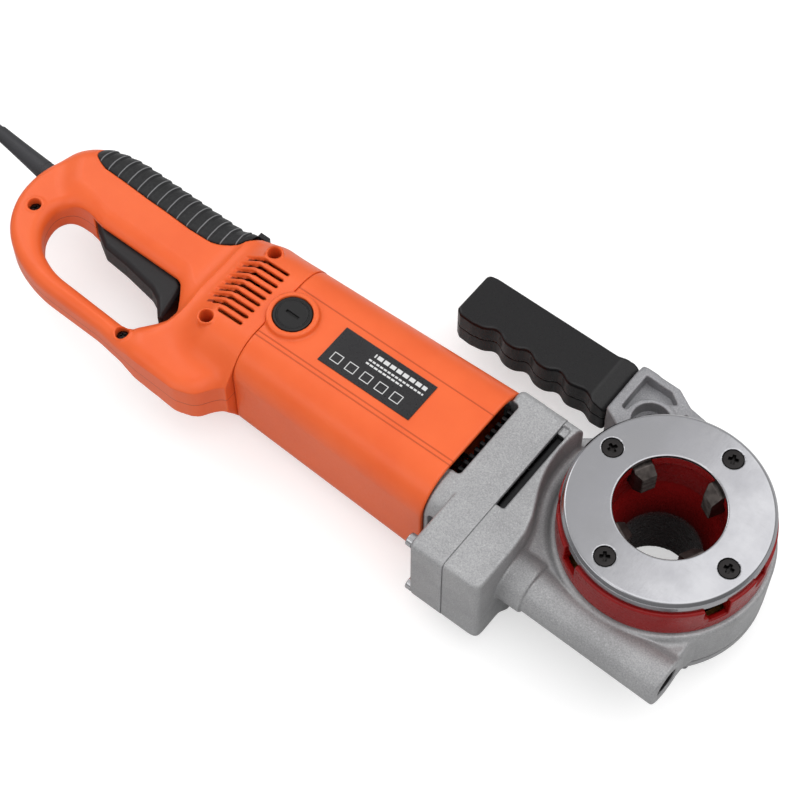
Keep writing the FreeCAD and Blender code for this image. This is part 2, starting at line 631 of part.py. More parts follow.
# ---------------------------------------------------------------- die head
DIE = [63, 153, 243, 333]
body = turned([(D.pipe_radius.v, 0), (D.guide_radius.v, 0, 1.5), (D.guide_radius.v, D.spigot_base.v), (D.spigot_radius.v, D.spigot_base.v, 1),
               (D.spigot_radius.v, D.ring_base.v), (D.ring_radius.v, D.ring_base.v, 1.2), (D.ring_radius.v, 89.9, 1.0),
               (34.5, 89.9), (33.0, 66.0, 3), (D.pipe_radius.v, 46.0, 3)])
keys = [slab(D.key_reach, D.key_width, 26, (0, 0, 36.6), Rot(V(0, 0, 1), a)) for a in (18, 108, 198, 288)]
keys_ring = common(fuse(*keys), cut(cyl(D.key_reach, 26, (0, 0, 36.6)), cyl(44.0, 40, (0, 0, 30))))
notches = [slab(12, 9.4, 12, (55.2 * math.cos(math.radians(a)), 55.2 * math.sin(math.radians(a)), 81.0), Rot(V(0, 0, 1), a)) for a in (-31, 2.5, 122, 149, 212, 242)]
under = turned([(48.5, 60.0), (57.0, 60.0), (57.0, 75.5, 1.5), (48.5, 75.5, 1.5)])
pocket = turned([(33.5, 20.0), (41.0, 20.0), (41.0, 60.0, 2), (38.8, 60.0), (33.5, 47.0)])
node("die_head_body", cut(fuse(body, keys_ring), *notches, under, pocket,
                          *[slab(80, D.die_width + 0.3, 16, (0, 0, 76.0), Rot(V(0, 0, 1), a)) for a in DIE],
                          *[cyl(2.6, 20, (47.0 * math.cos(math.radians(a)), 47.0 * math.sin(math.radians(a)), 76)) for a in (77, 167, 257, 347)]))
dies = []
for a in DIE:
    b = slab(D.die_end - D.die_tip, D.die_width, 13.6, (0, 0, 76.2), Rot(V(0, 0, 1), a))
    b.Placement = Pl(V(0, 0, 76.2), Rot(V(0, 0, 1), a)).multiply(Pl(V(float(D.die_tip), -float(D.die_width) / 2, 0), Rot()))
    g = slab(8, 20, 4.5, (0, 0, 0), Rot())
    g.Placement = Pl(V(0, 0, 83.5), Rot(V(0, 0, 1), a)).multiply(Pl(V(float(D.die_tip) - 4, -10, 0), Rot(V(0, 1, 0), -38)))
    dies.append(cut(b, g))
node("thread_dies", group(*dies))
node("cover_plate", cut(turned([(D.plate_hole.v, D.plate_base.v), (D.plate_radius.v + 0.6, D.plate_base.v, 2.2), (D.plate_radius.v + 0.2, D.plate_base.v + D.plate_thick.v, 2.4),
                                (D.plate_hole.v, D.plate_base.v + D.plate_thick.v)]),
                        *[turned([(0, 88), (2.7, 88), (2.7, 96.2), (5.95, 99.5), (5.95, 102), (0, 102)],
                                 (47.0 * math.cos(math.radians(a)), 47.0 * math.sin(math.radians(a)), 0)) for a in (77, 167, 257, 347)]))
node("plate_screws", group(*[
    cut(turned([(0, 78), (2.5, 78), (2.5, 96.15), (5.75, 99.45), (5.6, 99.7), (0, 99.9)],
               (47.0 * math.cos(math.radians(a)), 47.0 * math.sin(math.radians(a)), 0)),
        slab(1.2, 1.2, 5, (47.0 * math.cos(math.radians(a)) - 0.6, 47.0 * math.sin(math.radians(a)), 98.0), Rot())) for a in (77, 167, 257, 347)]))

# ---------------------------------------------------------------- handle shells
LOOP = [(-255, 13), (-405, 13, 20), (-427, 6, 14), (-440, -8, 14), (-447.5, -28, 14), (-446, -50, 14), (-436, -68, 16), (-418, -81.5, 18), (-395, -89.5, 20),
        (-340, -90.5, 15), (-312, -94.5, 15), (-280, -95.5, 9), (-268, -91.5, 9), (-258, -76.0, 6), (-255, -74)]
HOLE = [(-392, -36, 8), (-402, -33.5, 8), (-413, -35, 8), (-420, -44, 9), (-418, -57, 10), (-408, -69, 10), (-392, -76.5, 12), (-327, -79.5, 5), (-312, -63, 5), (-311, -55, 6), (-325, -36, 6)]
MAIN = [(-290, 13), (-405, 13, 20), (-427, 6, 14), (-438, -8, 14), (-425, -30, 14), (-402, -33.5, 8), (-392, -36, 6), (-325, -36, 6), (-300, -40)]
WING = [(-255, 15), (-300, 13.5), (-328, 8, 10), (-328, -36, 5), (-311, -55, 6), (-312, -63, 5), (-326, -79.5, 6), (-322, -93.0, 8), (-280, -95.5, 9), (-268, -91.5, 9), (-258, -76.0, 6), (-255, -74)]
BACK1 = rect(MY - 43.7, 0.0, MY + 43.7, 84.0, 23.0)
BACK2 = rect(MY - 43.0, 1.5, MY + 43.0, 82.0, 23.0)
BACK3 = rect(MY - 38.0, 25.0, MY + 39.0, 63.0, 14.0)
bh, gh = float(D.bar_half), float(D.grip_half)
SM = D.split_height
outer = fuse(plan(SM - D.bar_half, SM + D.bar_half, lines(LOOP), lines(HOLE)),
             plan(SM - D.grip_half, SM + D.grip_half, lines(MAIN)),
             plan(SM - D.grip_half, SM + D.grip_half, lines(WING)),
             loft(BACK2, BACK1, -282.0, D.housing_rear - 0.3), loft(BACK3, BACK2, -302.0, -282.0))
sw = float(D.shell_wall)
# hollow space: inside the loop, the main handle, the wing and the shoulder
LOOPI = inset(LOOP, sw + 0.6)
HOLEI = inset(HOLE, -(sw + 0.6))
BACK1i = rect(MY - 40.5, 3.4, MY + 40.5, 80.6, 20.0)
BACK2i = rect(MY - 39.8, 5.0, MY + 39.8, 78.6, 20.0)
BACK3i = rect(MY - 34.0, 28.6, MY + 34.0, 59.4, 10.0)
void = fuse(plan(SM - D.bar_half + 3.2, SM + D.bar_half - 3.2, lines(LOOPI), lines(HOLEI)),
            plan(SM - D.grip_half + 3.2, SM + D.grip_half - 3.2, lines(inset(MAIN, 3.4))),
            plan(SM - D.grip_half + 3.2, SM + D.grip_half - 3.2, lines(inset(WING, 3.4))),
            loft(BACK2i, BACK1i, -281.0, -250.0), loft(BACK3i, BACK2i, -300.0, -281.0))
void = cut(void, box((-429.0, 7.6, 20.0), (-309.0, 20.0, 70.0)), box((-429.0, 3.6, 20.0), (-309.0, 20.0, 32.2)), box((-429.0, 3.6, 55.8), (-309.0, 20.0, 70.0)))
SCREWS = [(-431.5, -50.0, 57.0), (-328.5, -85.0, 57.0), (-289.5, -51.0, 76.0), (-286.5, 6.0, 76.0)]
posts = [cyl(5.2, 2 * bh - 2.0, (x, y, MZ - bh + 1.0)) for x, y, z in SCREWS[:2]] + \
        [cyl(6.2, 66.0, (x, y, 8.0)) for x, y, z in SCREWS[2:]] + [cyl(5.0, 37.0, (-391.0, -28.0, 25.5))]
hollow = fuse(cut(outer, void), common(fuse(*posts), outer))
# the mains cord leaves through a strain relief that points at EX
EX = (-494.0, -17.7, 44.0)
AXD = V(EX[0] + 446.0, EX[1] + 22.3, 0)
AXD.normalize()
relief_rot = Rot(V(0, 0, 1), AXD)
TRIG_SLOT = [(-397.5, -41), (-397.5, -19), (-313.5, -19), (-311.0, -40), (-311.0, -57.0), (-324, -43.0)]
drill = fuse(*([cyl(1.9, 28.0, (x, y, 26.0)) for x, y, z in SCREWS[:2]] + [cyl(D.counterbore, 20.0, (x, y, 53.0)) for x, y, z in SCREWS[:2]] +
               [cyl(1.9, 50.0, (x, y, 12.0)) for x, y, z in SCREWS[2:]] + [cyl(D.counterbore, 40.0, (x, y, 60.0)) for x, y, z in SCREWS[2:]] +
               [plan(33.8, 54.2, lines(TRIG_SLOT)),
                cyl(2.0, 24.0, (-391.0, -28.0, 32.0)),
                cyl(6.02, 60.0, (EX[0] - AXD.x * 56.4, EX[1] - AXD.y * 56.4, 44.0), relief_rot),
                cyl(4.3, 12.0, (-306.0, 6.0, 44.0), "y"),
                box((-253.0, -120, -10), (-240, 60, 120)),
                cyl(15.8, 14.0, (CAPX, MY, 76.0)), cyl(15.8, 12.0, (CAPX, MY, -3.0))]))
# cooling slots over the shoulder
slots = [slab(17.0, 2.3, 9.0, (-281.5, -47.7 + 5.3 * k + 0.0, 76.0), Rot(V(0, 0, 1), 0)) for k in range(9)]
pad_seat = section(-426.0, -311.5, lines([(-5.6, 62.0), (-5.6, 70), (30, 70), (30, 18), (-5.6, 18), (-5.6, 26.0), (6.5, 26.0, 3), (10.2, 33.0, 4), (10.2, 55.0, 4), (6.5, 62.0, 3)]))
shells = cut(hollow, drill, pad_seat, *slots)
node("handle_shell_upper", common(shells, box((-460, -110, SM + 0.02), (-250, 40, 110.0))))
node("handle_shell_lower", common(shells, box((-460, -110, -10.0), (-250, 40, SM - 0.02))))
node("grip_pad", section(-425.6, -311.9, lines([(-5.4, 62.05), (-4.5, 65.5, 2), (8.0, 65.0, 8), (16.2, 58.0, 8), (16.2, 30.0, 8), (8.0, 23.0, 8), (-4.5, 22.5, 2), (-5.4, 25.95),
                                               (6.5, 25.95, 3), (10.25, 33.0, 4), (10.25, 55.0, 4), (6.5, 62.05, 3)])))
hs = []
for (x, y, zt) in SCREWS:
    top = 53.0 if zt < 60 else 60.0
    ln = 24.0 if zt < 60 else 44.0
    hs.append(turned([(0, 0), (1.85, 0), (1.85, ln), (3.6, ln), (3.6, ln + 2.4, 0.8), (0, ln + 2.4)], (x, y, top - ln + 0.05), "z"))
node("handle_screws", group(*hs))
# rear bearing bracket of the motor, inside the shoulder
node("rear_bearing_bracket", cut(fuse(cyl(35.5, 6.0, (-266.5, MY, MZ), "x"), cyl(15.0, 10.0, (-268.5, MY, MZ), "x"),
                                      box((-266.5, MY - 40.2, 37.0), (-260.5, MY + 40.2, 51.0))),
                                 cyl(11.0, 20.0, (-267.5, MY, MZ), "x"), cyl(7.0, 30.0, (-275.0, MY, MZ), "x")))
# ---------------------------------------------------------------- switch, trigger, selector
node("switch_body", fuse(box((-384.0, -21.5, 33.0), (-338.0, 5.0, 55.0)), box((-380.0, -15.0, 28.3), (-345.0, 2.6, 59.7)), box((-352.0, -23.2, 40.0), (-344.0, -21.4, 48.0))))
node("suppressor", box((-333.0, -18.0, 28.3), (-313.5, -2.0, 59.7)))
TRIG = [(-396, -22.5, 2), (-396, -33, 4), (-391, -38, 3), (-380, -44.5, 4), (-361, -46.0, 8), (-338, -49.5, 8), (-330.5, -53, 5), (-321.0, -62.8, 1.5), (-318.6, -61, 1.5), (-321.2, -47, 4), (-323.5, -37, 3), (-329, -33, 3), (-386, -24, 3)]
node("trigger", cut(plan(34.3, 53.7, lines(TRIG)), cyl(2.06, 30, (-391.0, -28.0, 30.0)), cyl(4.5, 8.0, (-391.0, -28.0, 48.8))))
node("trigger_pin", cyl(2.0, 23.0, (-391.0, -28.0, 32.5)))
node("trigger_spring", cut(cyl(4.1, 4.4, (-391.0, -28.0, 49.2)), cyl(2.5, 20, (-391.0, -28.0, 45.0))))
node("selector_lever", fuse(cyl(4.0, 14.0, (-306.0, 3.0, 44.0), "y"), box((-309.5, 17.0, 40.5), (-302.5, 20.0, 57.0))))
node("selector_switch", box((-313.0, -1.5, 28.9), (-298.0, 2.7, 59.2)))

# ---------------------------------------------------------------- case and housing screws
node("case_screws", group(*[turned([(0, 0), (1.65, 0), (1.65, 26.0), (4.0, 26.0), (4.0, 30.0, 0.8), (0, 30.0)], (-76.0, y, z), "-x")
                            for y, z in CASE_SCREWS]))

# ---------------------------------------------------------------- support arm and grip
ARM = [(-72.0, 54.0, 3), (-66.0, 49.5, 4), (-58.0, 50.5), (-51.0, 48.6), (-43.0, 50.8, 6), (-34.0, 57.0, 6), (-24.0, 67.0, 6), (-12.0, 66.5, 5), (-4.5, 70.0, 6), (-4.5, 79.0, 8), (-14.0, 82.5, 10),
       (-38.0, 86.0, 6), (-50.0, 92.5, 3), (-74.0, 92.5, 3), (-76.5, 86.0, 2), (-76.5, 56.0, 2)]
arm = plan(D.arm_web, D.arm_top, lines(ARM))
block = plan(D.arm_base, D.arm_top, lines([(-62.5, 51.5, 3), (-62.5, 90.5, 3), (-66.0, 92.5, 2), (-76.5, 92.5, 2), (-76.5, 55.0, 2), (-68.5, 51.5, 3)]))
TRI = [(-70.5, 61.5, 1.5), (-70.5, 87.5, 1.5), (-52.5, 87.5, 1.5), (-44.5, 82.5, 1.5), (-50.9, 79.4), (-58.8, 77.3), (-64.5, 72.0), (-66.8, 65.0), (-67.0, 61.5, 1.5)]
stem = box((-118.0, 64.5, 26.0), (-75.0, 79.5, 42.0))
node("support_arm", cut(fuse(arm, block, stem),
                        cyl(12.0, 20.0, (-50.9, 63.6, 39.0)),
                        cyl(4.2, 40.0, (-50.9, 63.6, 20.0)), cyl(4.2, 40.0, (-14.0, 74.0, 20.0)),
                        cyl(7.4, 10.0, (-14.0, 74.0, 43.5)),
                        plan(40.0, 60.0, lines(TRI)),
                        plan(40.0, 60.0, lines([(-36, 68, 1.5), (-24, 73, 1.5), (-24, 79, 1.5), (-38, 80, 1.5)])),
                        cyl(59.0, 5, (0, 0, 100.0))))
GRIP = [(-77.0, 54.5, 3), (-77.0, 91.0, 3), (-82.0, 91.6, 3), (-92.0, 88.6, 6), (-176.0, 88.0, 6), (-186.5, 84.0, 5), (-186.5, 58.5, 5), (-182.0, 53.6, 4), (-174.0, 52.6, 4), (-165.0, 54.2, 3), (-158.5, 58.2, 5), (-150.0, 54.2, 3), (-143.0, 54.2, 3),
        (-135.5, 58.4, 5), (-127.0, 54.4, 3), (-120.0, 54.4, 3), (-112.5, 58.6, 5), (-104.0, 54.8, 3), (-93.0, 56.6, 5), (-86.0, 54.0, 4)]
node("arm_grip", cut(plan(20.5, 48.3, lines(GRIP)), box((-118.1, 64.4, 25.9), (-70.0, 79.6, 42.1))))
node("arm_bolts", group(*[turned([(0, 0), (3.25, 0), (3.25, 9.2), (3.9, 9.3), (3.9, h), (7.0, h), (7.0, h + 6.0, 0.8), (3.0, h + 6.0), (3.0, h + 3.0), (0, h + 3.0)], (x, y, 21.5), "z")
                          for x, y, h in ((-50.9, 63.6, 17.55), (-14.0, 74.0, 22.05))]))

# ---------------------------------------------------------------- mains cord
node("strain_relief", cone(D.relief_large, D.relief_small, 56.0, (EX[0] - AXD.x * 56.0, EX[1] - AXD.y * 56.0, 44.0), relief_rot))
node("cord_clamp", cut(box((-432.0, -29.0, 34.3), (-424.0, -14.0, 53.7)), cyl(4.2, 30, (-440.0, -22.0, 44.0), "x")))

ROUTE = [EX, (-516.0, -15.6, 43.3), (-540.0, -14.2, 34.5), (-561.0, -14.6, 20.0), (-580.0, -15.6, 8.8), (-602.0, -16.8, 4.6), (-622.0, -19.4, 4.3)]
COIL = (-600.0, -79.6)
LEAD = [(-600.0, -142.5, 12.6), (-583.0, -142.8, 12.7), (-565.0, -144.6, 12.9), (-548.0, -148.6, 13.1)]


def rounded_path(points, factor=0.45):
    pts = [V(*p) for p in points]
    edges, start, radii = [], pts[0], []
    for i in range(1, len(pts) - 1):
        a, p, b = pts[i - 1], pts[i], pts[i + 1]
        u, w2 = (a - p), (b - p)
        short = min(u.Length, w2.Length)
        u.normalize()
        w2.normalize()
        turn = math.pi - math.acos(max(-1, min(1, u.dot(w2))))
        t = factor * short
        r = t / math.tan(turn / 2)
        s, e = p + u * t, p + w2 * t
        bis = u + w2
        bis.normalize()
        c = p + bis * math.hypot(r, t)
        mid = c - bis * r
        edges.append(Part.LineSegment(start, s).toShape())
        edges.append(Part.Arc(s, mid, e).toShape())
        radii.append(round(r, 1))
        start = e
    edges.append(Part.LineSegment(start, pts[-1]).toShape())
    print("cord bend radii", radii)
    return Part.Wire(edges)


def free_cord(points):
    wire = rounded_path(points)
    tan = V(*points[1]) - V(*points[0])
    tan.normalize()
    circ = Part.Wire([Part.makeCircle(float(D.cord_radius), V(*points[0]), tan)])
    solid = wire.makePipe(Part.Face(circ))
    want = math.pi * float(D.cord_radius) ** 2 * wire.Length
    print("cord tube length %.1f volume/ideal %.5f" % (wire.Length, solid.Volume / want))
    return solid, wire


def coil_block(grow=0.0):
    return cyl(67.0 + grow, 16.8, (COIL[0], COIL[1], 0.0))


def tube_node(label, points):
    solid, wire = free_cord(points)
    o = doc.addObject("Part::Feature", uid("sweep"))
    o.Shape = solid
    CHECK.append(o)
    return node(label, cut(o, cyl(67.0, 60.0, (COIL[0], COIL[1], -20.0)))), wire


tube_node("mains_cord", ROUTE)
tube_node("plug_lead", LEAD)
# the length that is put away: a flat round coil of seven and a half turns in two layers
node("cord_coil", cut(coil_block(), cyl(27.5, 30, (COIL[0], COIL[1], -5.0))))
pe, pd = V(*LEAD[-1]), V(*LEAD[-1]) - V(*LEAD[-2])
pd.z = 0.0
pd.normalize()
plug_rot = Rot(V(0, 0, 1), V(0, 0, 1)).multiply(Rot(V(1, 0, 0), pd))
neck = cone(5.4, 8.0, 26.0, (pe.x, pe.y, pe.z), plug_rot.multiply(AX["x"]))
shell = section(0.0, 19.0, lines([(-18.0, -13.0, 11.0), (18.0, -13.0, 11.0), (18.0, 13.0, 11.0), (-18.0, 13.0, 11.0)]))
shell.Placement = Pl(pe + pd * 22.0, plug_rot)
node("plug_body", fuse(neck, shell))
side = V(-pd.y, pd.x, 0)
node("plug_pins", group(*[
    place(turned([(0, 0), (D.pin_radius.v, 0), (D.pin_radius.v, D.pin_length.v, 1.5), (0, D.pin_length.v)]),
          tuple(pe + pd * 41.0 + side * (k * 9.5)), plug_rot.multiply(AX["x"])) for k in (-1, 1)]))
print("plug mouth", [round(c, 3) for c in pe + pd * 41.0], "direction", [round(c, 4) for c in pd])

doc.recompute()

# ---------------------------------------------------------------- checks and export
bad = []
for o in doc.Objects:
    if "Invalid" in o.State or "Error" in o.State:
        bad.append("%s (%s): %s" % (o.Name, o.TypeId, o.State))
for name, o in NODES.items():
    sh = o.Shape
    if sh.isNull() or not sh.isValid():
        bad.append("%s: shape null or invalid" % name)
    elif len(sh.Solids) == 0:
        bad.append("%s: no solid" % name)
for b in bad:
    print("BAD", b)
if bad:
    raise SystemExit("%d problems" % len(bad))

os.makedirs("parts", exist_ok=True)
for f in os.listdir("parts"):
    if f.endswith(".step"):
        os.remove(os.path.join("parts", f))
total = 0.0
for name, o in sorted(NODES.items()):
    sh = o.Shape
    bb = sh.BoundBox
    print("%-22s solids %2d  vol %9.1f  x %7.1f %7.1f  y %6.1f %6.1f  z %5.1f %5.1f" % (
        name, len(sh.Solids), sh.Volume, bb.XMin, bb.XMax, bb.YMin, bb.YMax, bb.ZMin, bb.ZMax))
    sh.exportStep("parts/%s.step" % name)
print("nodes", len(NODES), "idler axis", round(IY, 3), round(IZ, 3))
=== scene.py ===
import math

import bpy
import numpy as np
from mathutils import Matrix, Vector


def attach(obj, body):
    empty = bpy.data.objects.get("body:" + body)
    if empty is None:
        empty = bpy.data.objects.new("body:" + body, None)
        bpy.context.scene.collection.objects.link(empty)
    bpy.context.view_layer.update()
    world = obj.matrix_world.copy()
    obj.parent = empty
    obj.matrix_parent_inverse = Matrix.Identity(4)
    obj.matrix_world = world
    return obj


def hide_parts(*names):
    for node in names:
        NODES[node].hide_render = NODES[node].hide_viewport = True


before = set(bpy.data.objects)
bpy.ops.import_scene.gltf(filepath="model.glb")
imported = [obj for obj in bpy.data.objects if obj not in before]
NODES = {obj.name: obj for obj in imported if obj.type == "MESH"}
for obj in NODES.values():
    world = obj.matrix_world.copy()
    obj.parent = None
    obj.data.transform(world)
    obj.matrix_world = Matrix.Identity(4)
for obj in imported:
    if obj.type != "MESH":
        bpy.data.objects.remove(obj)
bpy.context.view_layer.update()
COARSE = 1.0
MY, MZ = -26.7, 44.0
WY, WZ = -65.5, 52.0
F32 = np.float32


# ------------------------------------------------------------------ distance fields, in millimetres
def corners(points, steps=6):
    """An outline whose third numbers round its corners, as a plain polygon."""
    pts = [tuple(p) + (0,) * (3 - len(p)) for p in points]
    n = len(pts)
    out = []
    for i in range(n):
        p = np.array(pts[i][:2], float)
        r = pts[i][2]
        if r <= 0:
            out.append(p)
            continue
        a, b = np.array(pts[i - 1][:2], float), np.array(pts[(i + 1) % n][:2], float)
        u, w = a - p, b - p
        lim = 0.49 * min(np.linalg.norm(u), np.linalg.norm(w))
        u /= np.linalg.norm(u)
        w /= np.linalg.norm(w)
        half = math.acos(max(-1, min(1, float(u @ w)))) / 2
        t = min(r / math.tan(half), lim)
        s, e = p + u * t, p + w * t
        for k in range(steps + 1):
            q = k / steps
            out.append((1 - q) ** 2 * s + 2 * q * (1 - q) * p + q * q * e)
    return np.array(out)


class Poly:
    """Signed distance to a closed outline."""

    def __init__(self, points, steps=6):
        self.p = corners(points, steps)

    def __call__(self, x, y):
        x, y = np.broadcast_arrays(np.asarray(x, F32), np.asarray(y, F32))
        d = np.full(x.shape, 1e12, F32)
        s = np.ones(x.shape, bool)
        P = self.p
        for i in range(len(P)):
            a, b = P[i], P[i - 1]
            ex, ey = float(b[0] - a[0]), float(b[1] - a[1])
            if ex * ex + ey * ey < 1e-12:
                continue
            wx, wy = x - F32(a[0]), y - F32(a[1])
            t = np.clip((wx * ex + wy * ey) / (ex * ex + ey * ey), 0, 1)
            bx, by = wx - ex * t, wy - ey * t
            d = np.minimum(d, bx * bx + by * by)
            c1, c2, c3 = y >= a[1], y < b[1], ex * wy > ey * wx
            s ^= (c1 & c2 & c3) | (~c1 & ~c2 & ~c3)
        return np.where(s, 1, -1).astype(F32) * np.sqrt(d)


def ext(d2, t, lo, hi, r=0.0):
    """Extrusion of a flat distance along t, its two rims rounded."""
    dz = np.abs(t - (lo + hi) / 2) - (hi - lo) / 2
    if r <= 0:
        return np.maximum(d2, dz)
    a, b = d2 + r, dz + r
    return np.sqrt(np.maximum(a, 0) ** 2 + np.maximum(b, 0) ** 2) + np.minimum(np.maximum(a, b), 0) - r


def smin(a, b, k):
    h = np.clip(0.5 + 0.5 * (b - a) / k, 0, 1)
    return b + (a - b) * h - k * h * (1 - h)


def smax(a, b, k):
    return -smin(-a, -b, k)


def rrect(u, v, u0, u1, v0, v1, r):
    """Rounded rectangle; its limits may vary from point to point."""
    a = np.abs(u - (u0 + u1) / 2) - (u1 - u0) / 2 + r
    b = np.abs(v - (v0 + v1) / 2) - (v1 - v0) / 2 + r
    return np.sqrt(np.maximum(a, 0) ** 2 + np.maximum(b, 0) ** 2) + np.minimum(np.maximum(a, b), 0) - r


def rod(u, v, t, cu, cv, r, lo, hi, edge=0.0):
    return ext(np.sqrt((u - cu) ** 2 + (v - cv) ** 2) - r, t, lo, hi, edge)


def blk(x, y, z, lo, hi, r=0.0):
    return ext(rrect(x, y, lo[0], hi[0], lo[1], hi[1], r), z, lo[2], hi[2], r)


def seg(x, y, ax, ay, bx, by, r):
    ex, ey = bx - ax, by - ay
    t = np.clip(((x - ax) * ex + (y - ay) * ey) / (ex * ex + ey * ey + 1e-9), 0, 1)
    return np.sqrt((x - ax - ex * t) ** 2 + (y - ay - ey * t) ** 2) - r


def sstep(a, b, x):
    t = np.clip((x - a) / (b - a), 0, 1)
    return t * t * (3 - 2 * t)


CORN = [(i, j, k) for i in (0, 1) for j in (0, 1) for k in (0, 1)]
EDGES = [(a, b) for a in range(8) for b in range(a + 1, 8) if sum(abs(p - q) for p, q in zip(CORN[a], CORN[b])) == 1]


def chunked(f, P, n=24000):
    return np.concatenate([f(P[i:i + n, 0], P[i:i + n, 1], P[i:i + n, 2]) for i in range(0, len(P), n)])


TETRA = np.array([[1, -1, -1], [-1, -1, 1], [-1, 1, -1], [1, 1, 1]], F32)


def slope(f, P, e):
    g = np.zeros_like(P)
    for k in TETRA:
        g += k * chunked(f, P + k * F32(e))[:, None]
    return g / np.maximum(np.linalg.norm(g, axis=1, keepdims=True), 1e-9)


def build(name, f, lo, hi, h, soft=0.45):
    """Meshes the surface where f is zero, inside a box, as quads with true normals."""
    h = h * COARSE
    lo, hi = np.array(lo, float), np.array(hi, float)
    n = [int(math.ceil((hi[i] - lo[i]) / h)) + 2 for i in range(3)]
    ax = [(lo[i] - 0.53 * h + h * np.arange(n[i])).astype(F32) for i in range(3)]
    D = np.empty(n, F32)
    for i in range(0, n[0], 24):
        part = f(ax[0][i:i + 24, None, None], ax[1][None, :, None], ax[2][None, None, :])
        D[i:i + 24] = np.broadcast_to(part, D[i:i + 24].shape)
    S = D < 0
    cnt = sum(S[i:n[0] - 1 + i, j:n[1] - 1 + j, k:n[2] - 1 + k].astype(np.int8) for i, j, k in CORN)
    act = (cnt > 0) & (cnt < 8)
    idx = np.argwhere(act)
    vals = np.stack([D[idx[:, 0] + i, idx[:, 1] + j, idx[:, 2] + k] for i, j, k in CORN], 1)
    acc, num = np.zeros((len(idx), 3), F32), np.zeros(len(idx), F32)
    for a, b in EDGES:
        va, vb = vals[:, a], vals[:, b]
        m = (va < 0) != (vb < 0)
        t = np.where(m, va / np.where(m, va - vb, 1), 0)
        pa, pb = np.array(CORN[a], F32), np.array(CORN[b], F32)
        acc += np.where(m[:, None], pa + (pb - pa) * t[:, None], 0)
        num += m
    P = np.stack([ax[i][0] + h * (idx[:, i] + acc[:, i] / num) for i in range(3)], 1).astype(F32)
    vid = np.full(act.shape, -1, np.int32)
    vid[act] = np.arange(len(idx))
    quads = []
    for d in range(3):
        e1, e2 = [(1, 2), (2, 0), (0, 1)][d]
        A = [slice(0, n[q]) for q in range(3)]
        B = list(A)
        A[d], B[d] = slice(0, n[d] - 1), slice(1, n[d])
        cr = S[tuple(A)] != S[tuple(B)]
        c = np.argwhere(cr)
        ok = (c[:, e1] > 0) & (c[:, e2] > 0) & (c[:, e1] < n[e1] - 1) & (c[:, e2] < n[e2] - 1)
        c = c[ok]
        q = []
        for o1, o2 in ((0, 0), (-1, 0), (-1, -1), (0, -1)):
            cc = c.copy()
            cc[:, e1] += o1
            cc[:, e2] += o2
            q.append(vid[cc[:, 0], cc[:, 1], cc[:, 2]])
        q = np.stack(q, 1)
        inside = S[c[:, 0], c[:, 1], c[:, 2]]
        q[~inside] = q[~inside][:, ::-1]
        quads.append(q)
    Q = np.concatenate(quads)
    Q = Q[(Q >= 0).all(1)]
    lab = np.arange(len(P))
    for _ in range(400):
        low = lab[Q].min(1)
        new = lab.copy()
        for c in range(4):
            np.minimum.at(new, Q[:, c], low)
        new = new[new]
        if (new == lab).all():
            break
        lab = new
    size = np.bincount(lab[Q[:, 0]], minlength=len(P))
    Q = Q[size[lab[Q[:, 0]]] >= 60]
    used = np.unique(Q)
    remap = np.zeros(len(P), np.int64)
    remap[used] = np.arange(len(used))
    P, Q = P[used], remap[Q]
    for _ in range(2):
        g = slope(f, P, 0.25 * h)
        d = np.clip(chunked(f, P), -0.45 * h, 0.45 * h)
        P = P - g * d[:, None] * F32(0.8)
    N = slope(f, P, soft * h)
    me = bpy.data.meshes.new(name)
    me.vertices.add(len(P))
    me.vertices.foreach_set("co", (P * 0.001).astype(F32).ravel())
    me.loops.add(len(Q) * 4)
    me.loops.foreach_set("vertex_index", Q.astype(np.int32).ravel())
    me.polygons.add(len(Q))
    me.polygons.foreach_set("loop_start", np.arange(0, len(Q) * 4, 4, dtype=np.int32))
    me.update(calc_edges=True)
    me.validate()
    me.polygons.foreach_set("use_smooth", np.ones(len(me.polygons), bool))
    if len(me.vertices) == len(N):
        me.normals_split_custom_set_from_vertices(N.astype(float))
    ob = bpy.data.objects.new(name, me)
    bpy.context.scene.collection.objects.link(ob)
    print("BUILT", name, len(P), len(Q))
    return ob


# ------------------------------------------------------------------ materials
def srgb(r, g, b):
    return tuple(((c / 255) / 12.92 if c / 255 <= 0.04045 else ((c / 255 + 0.055) / 1.055) ** 2.4) for c in (r, g, b)) + (1.0,)


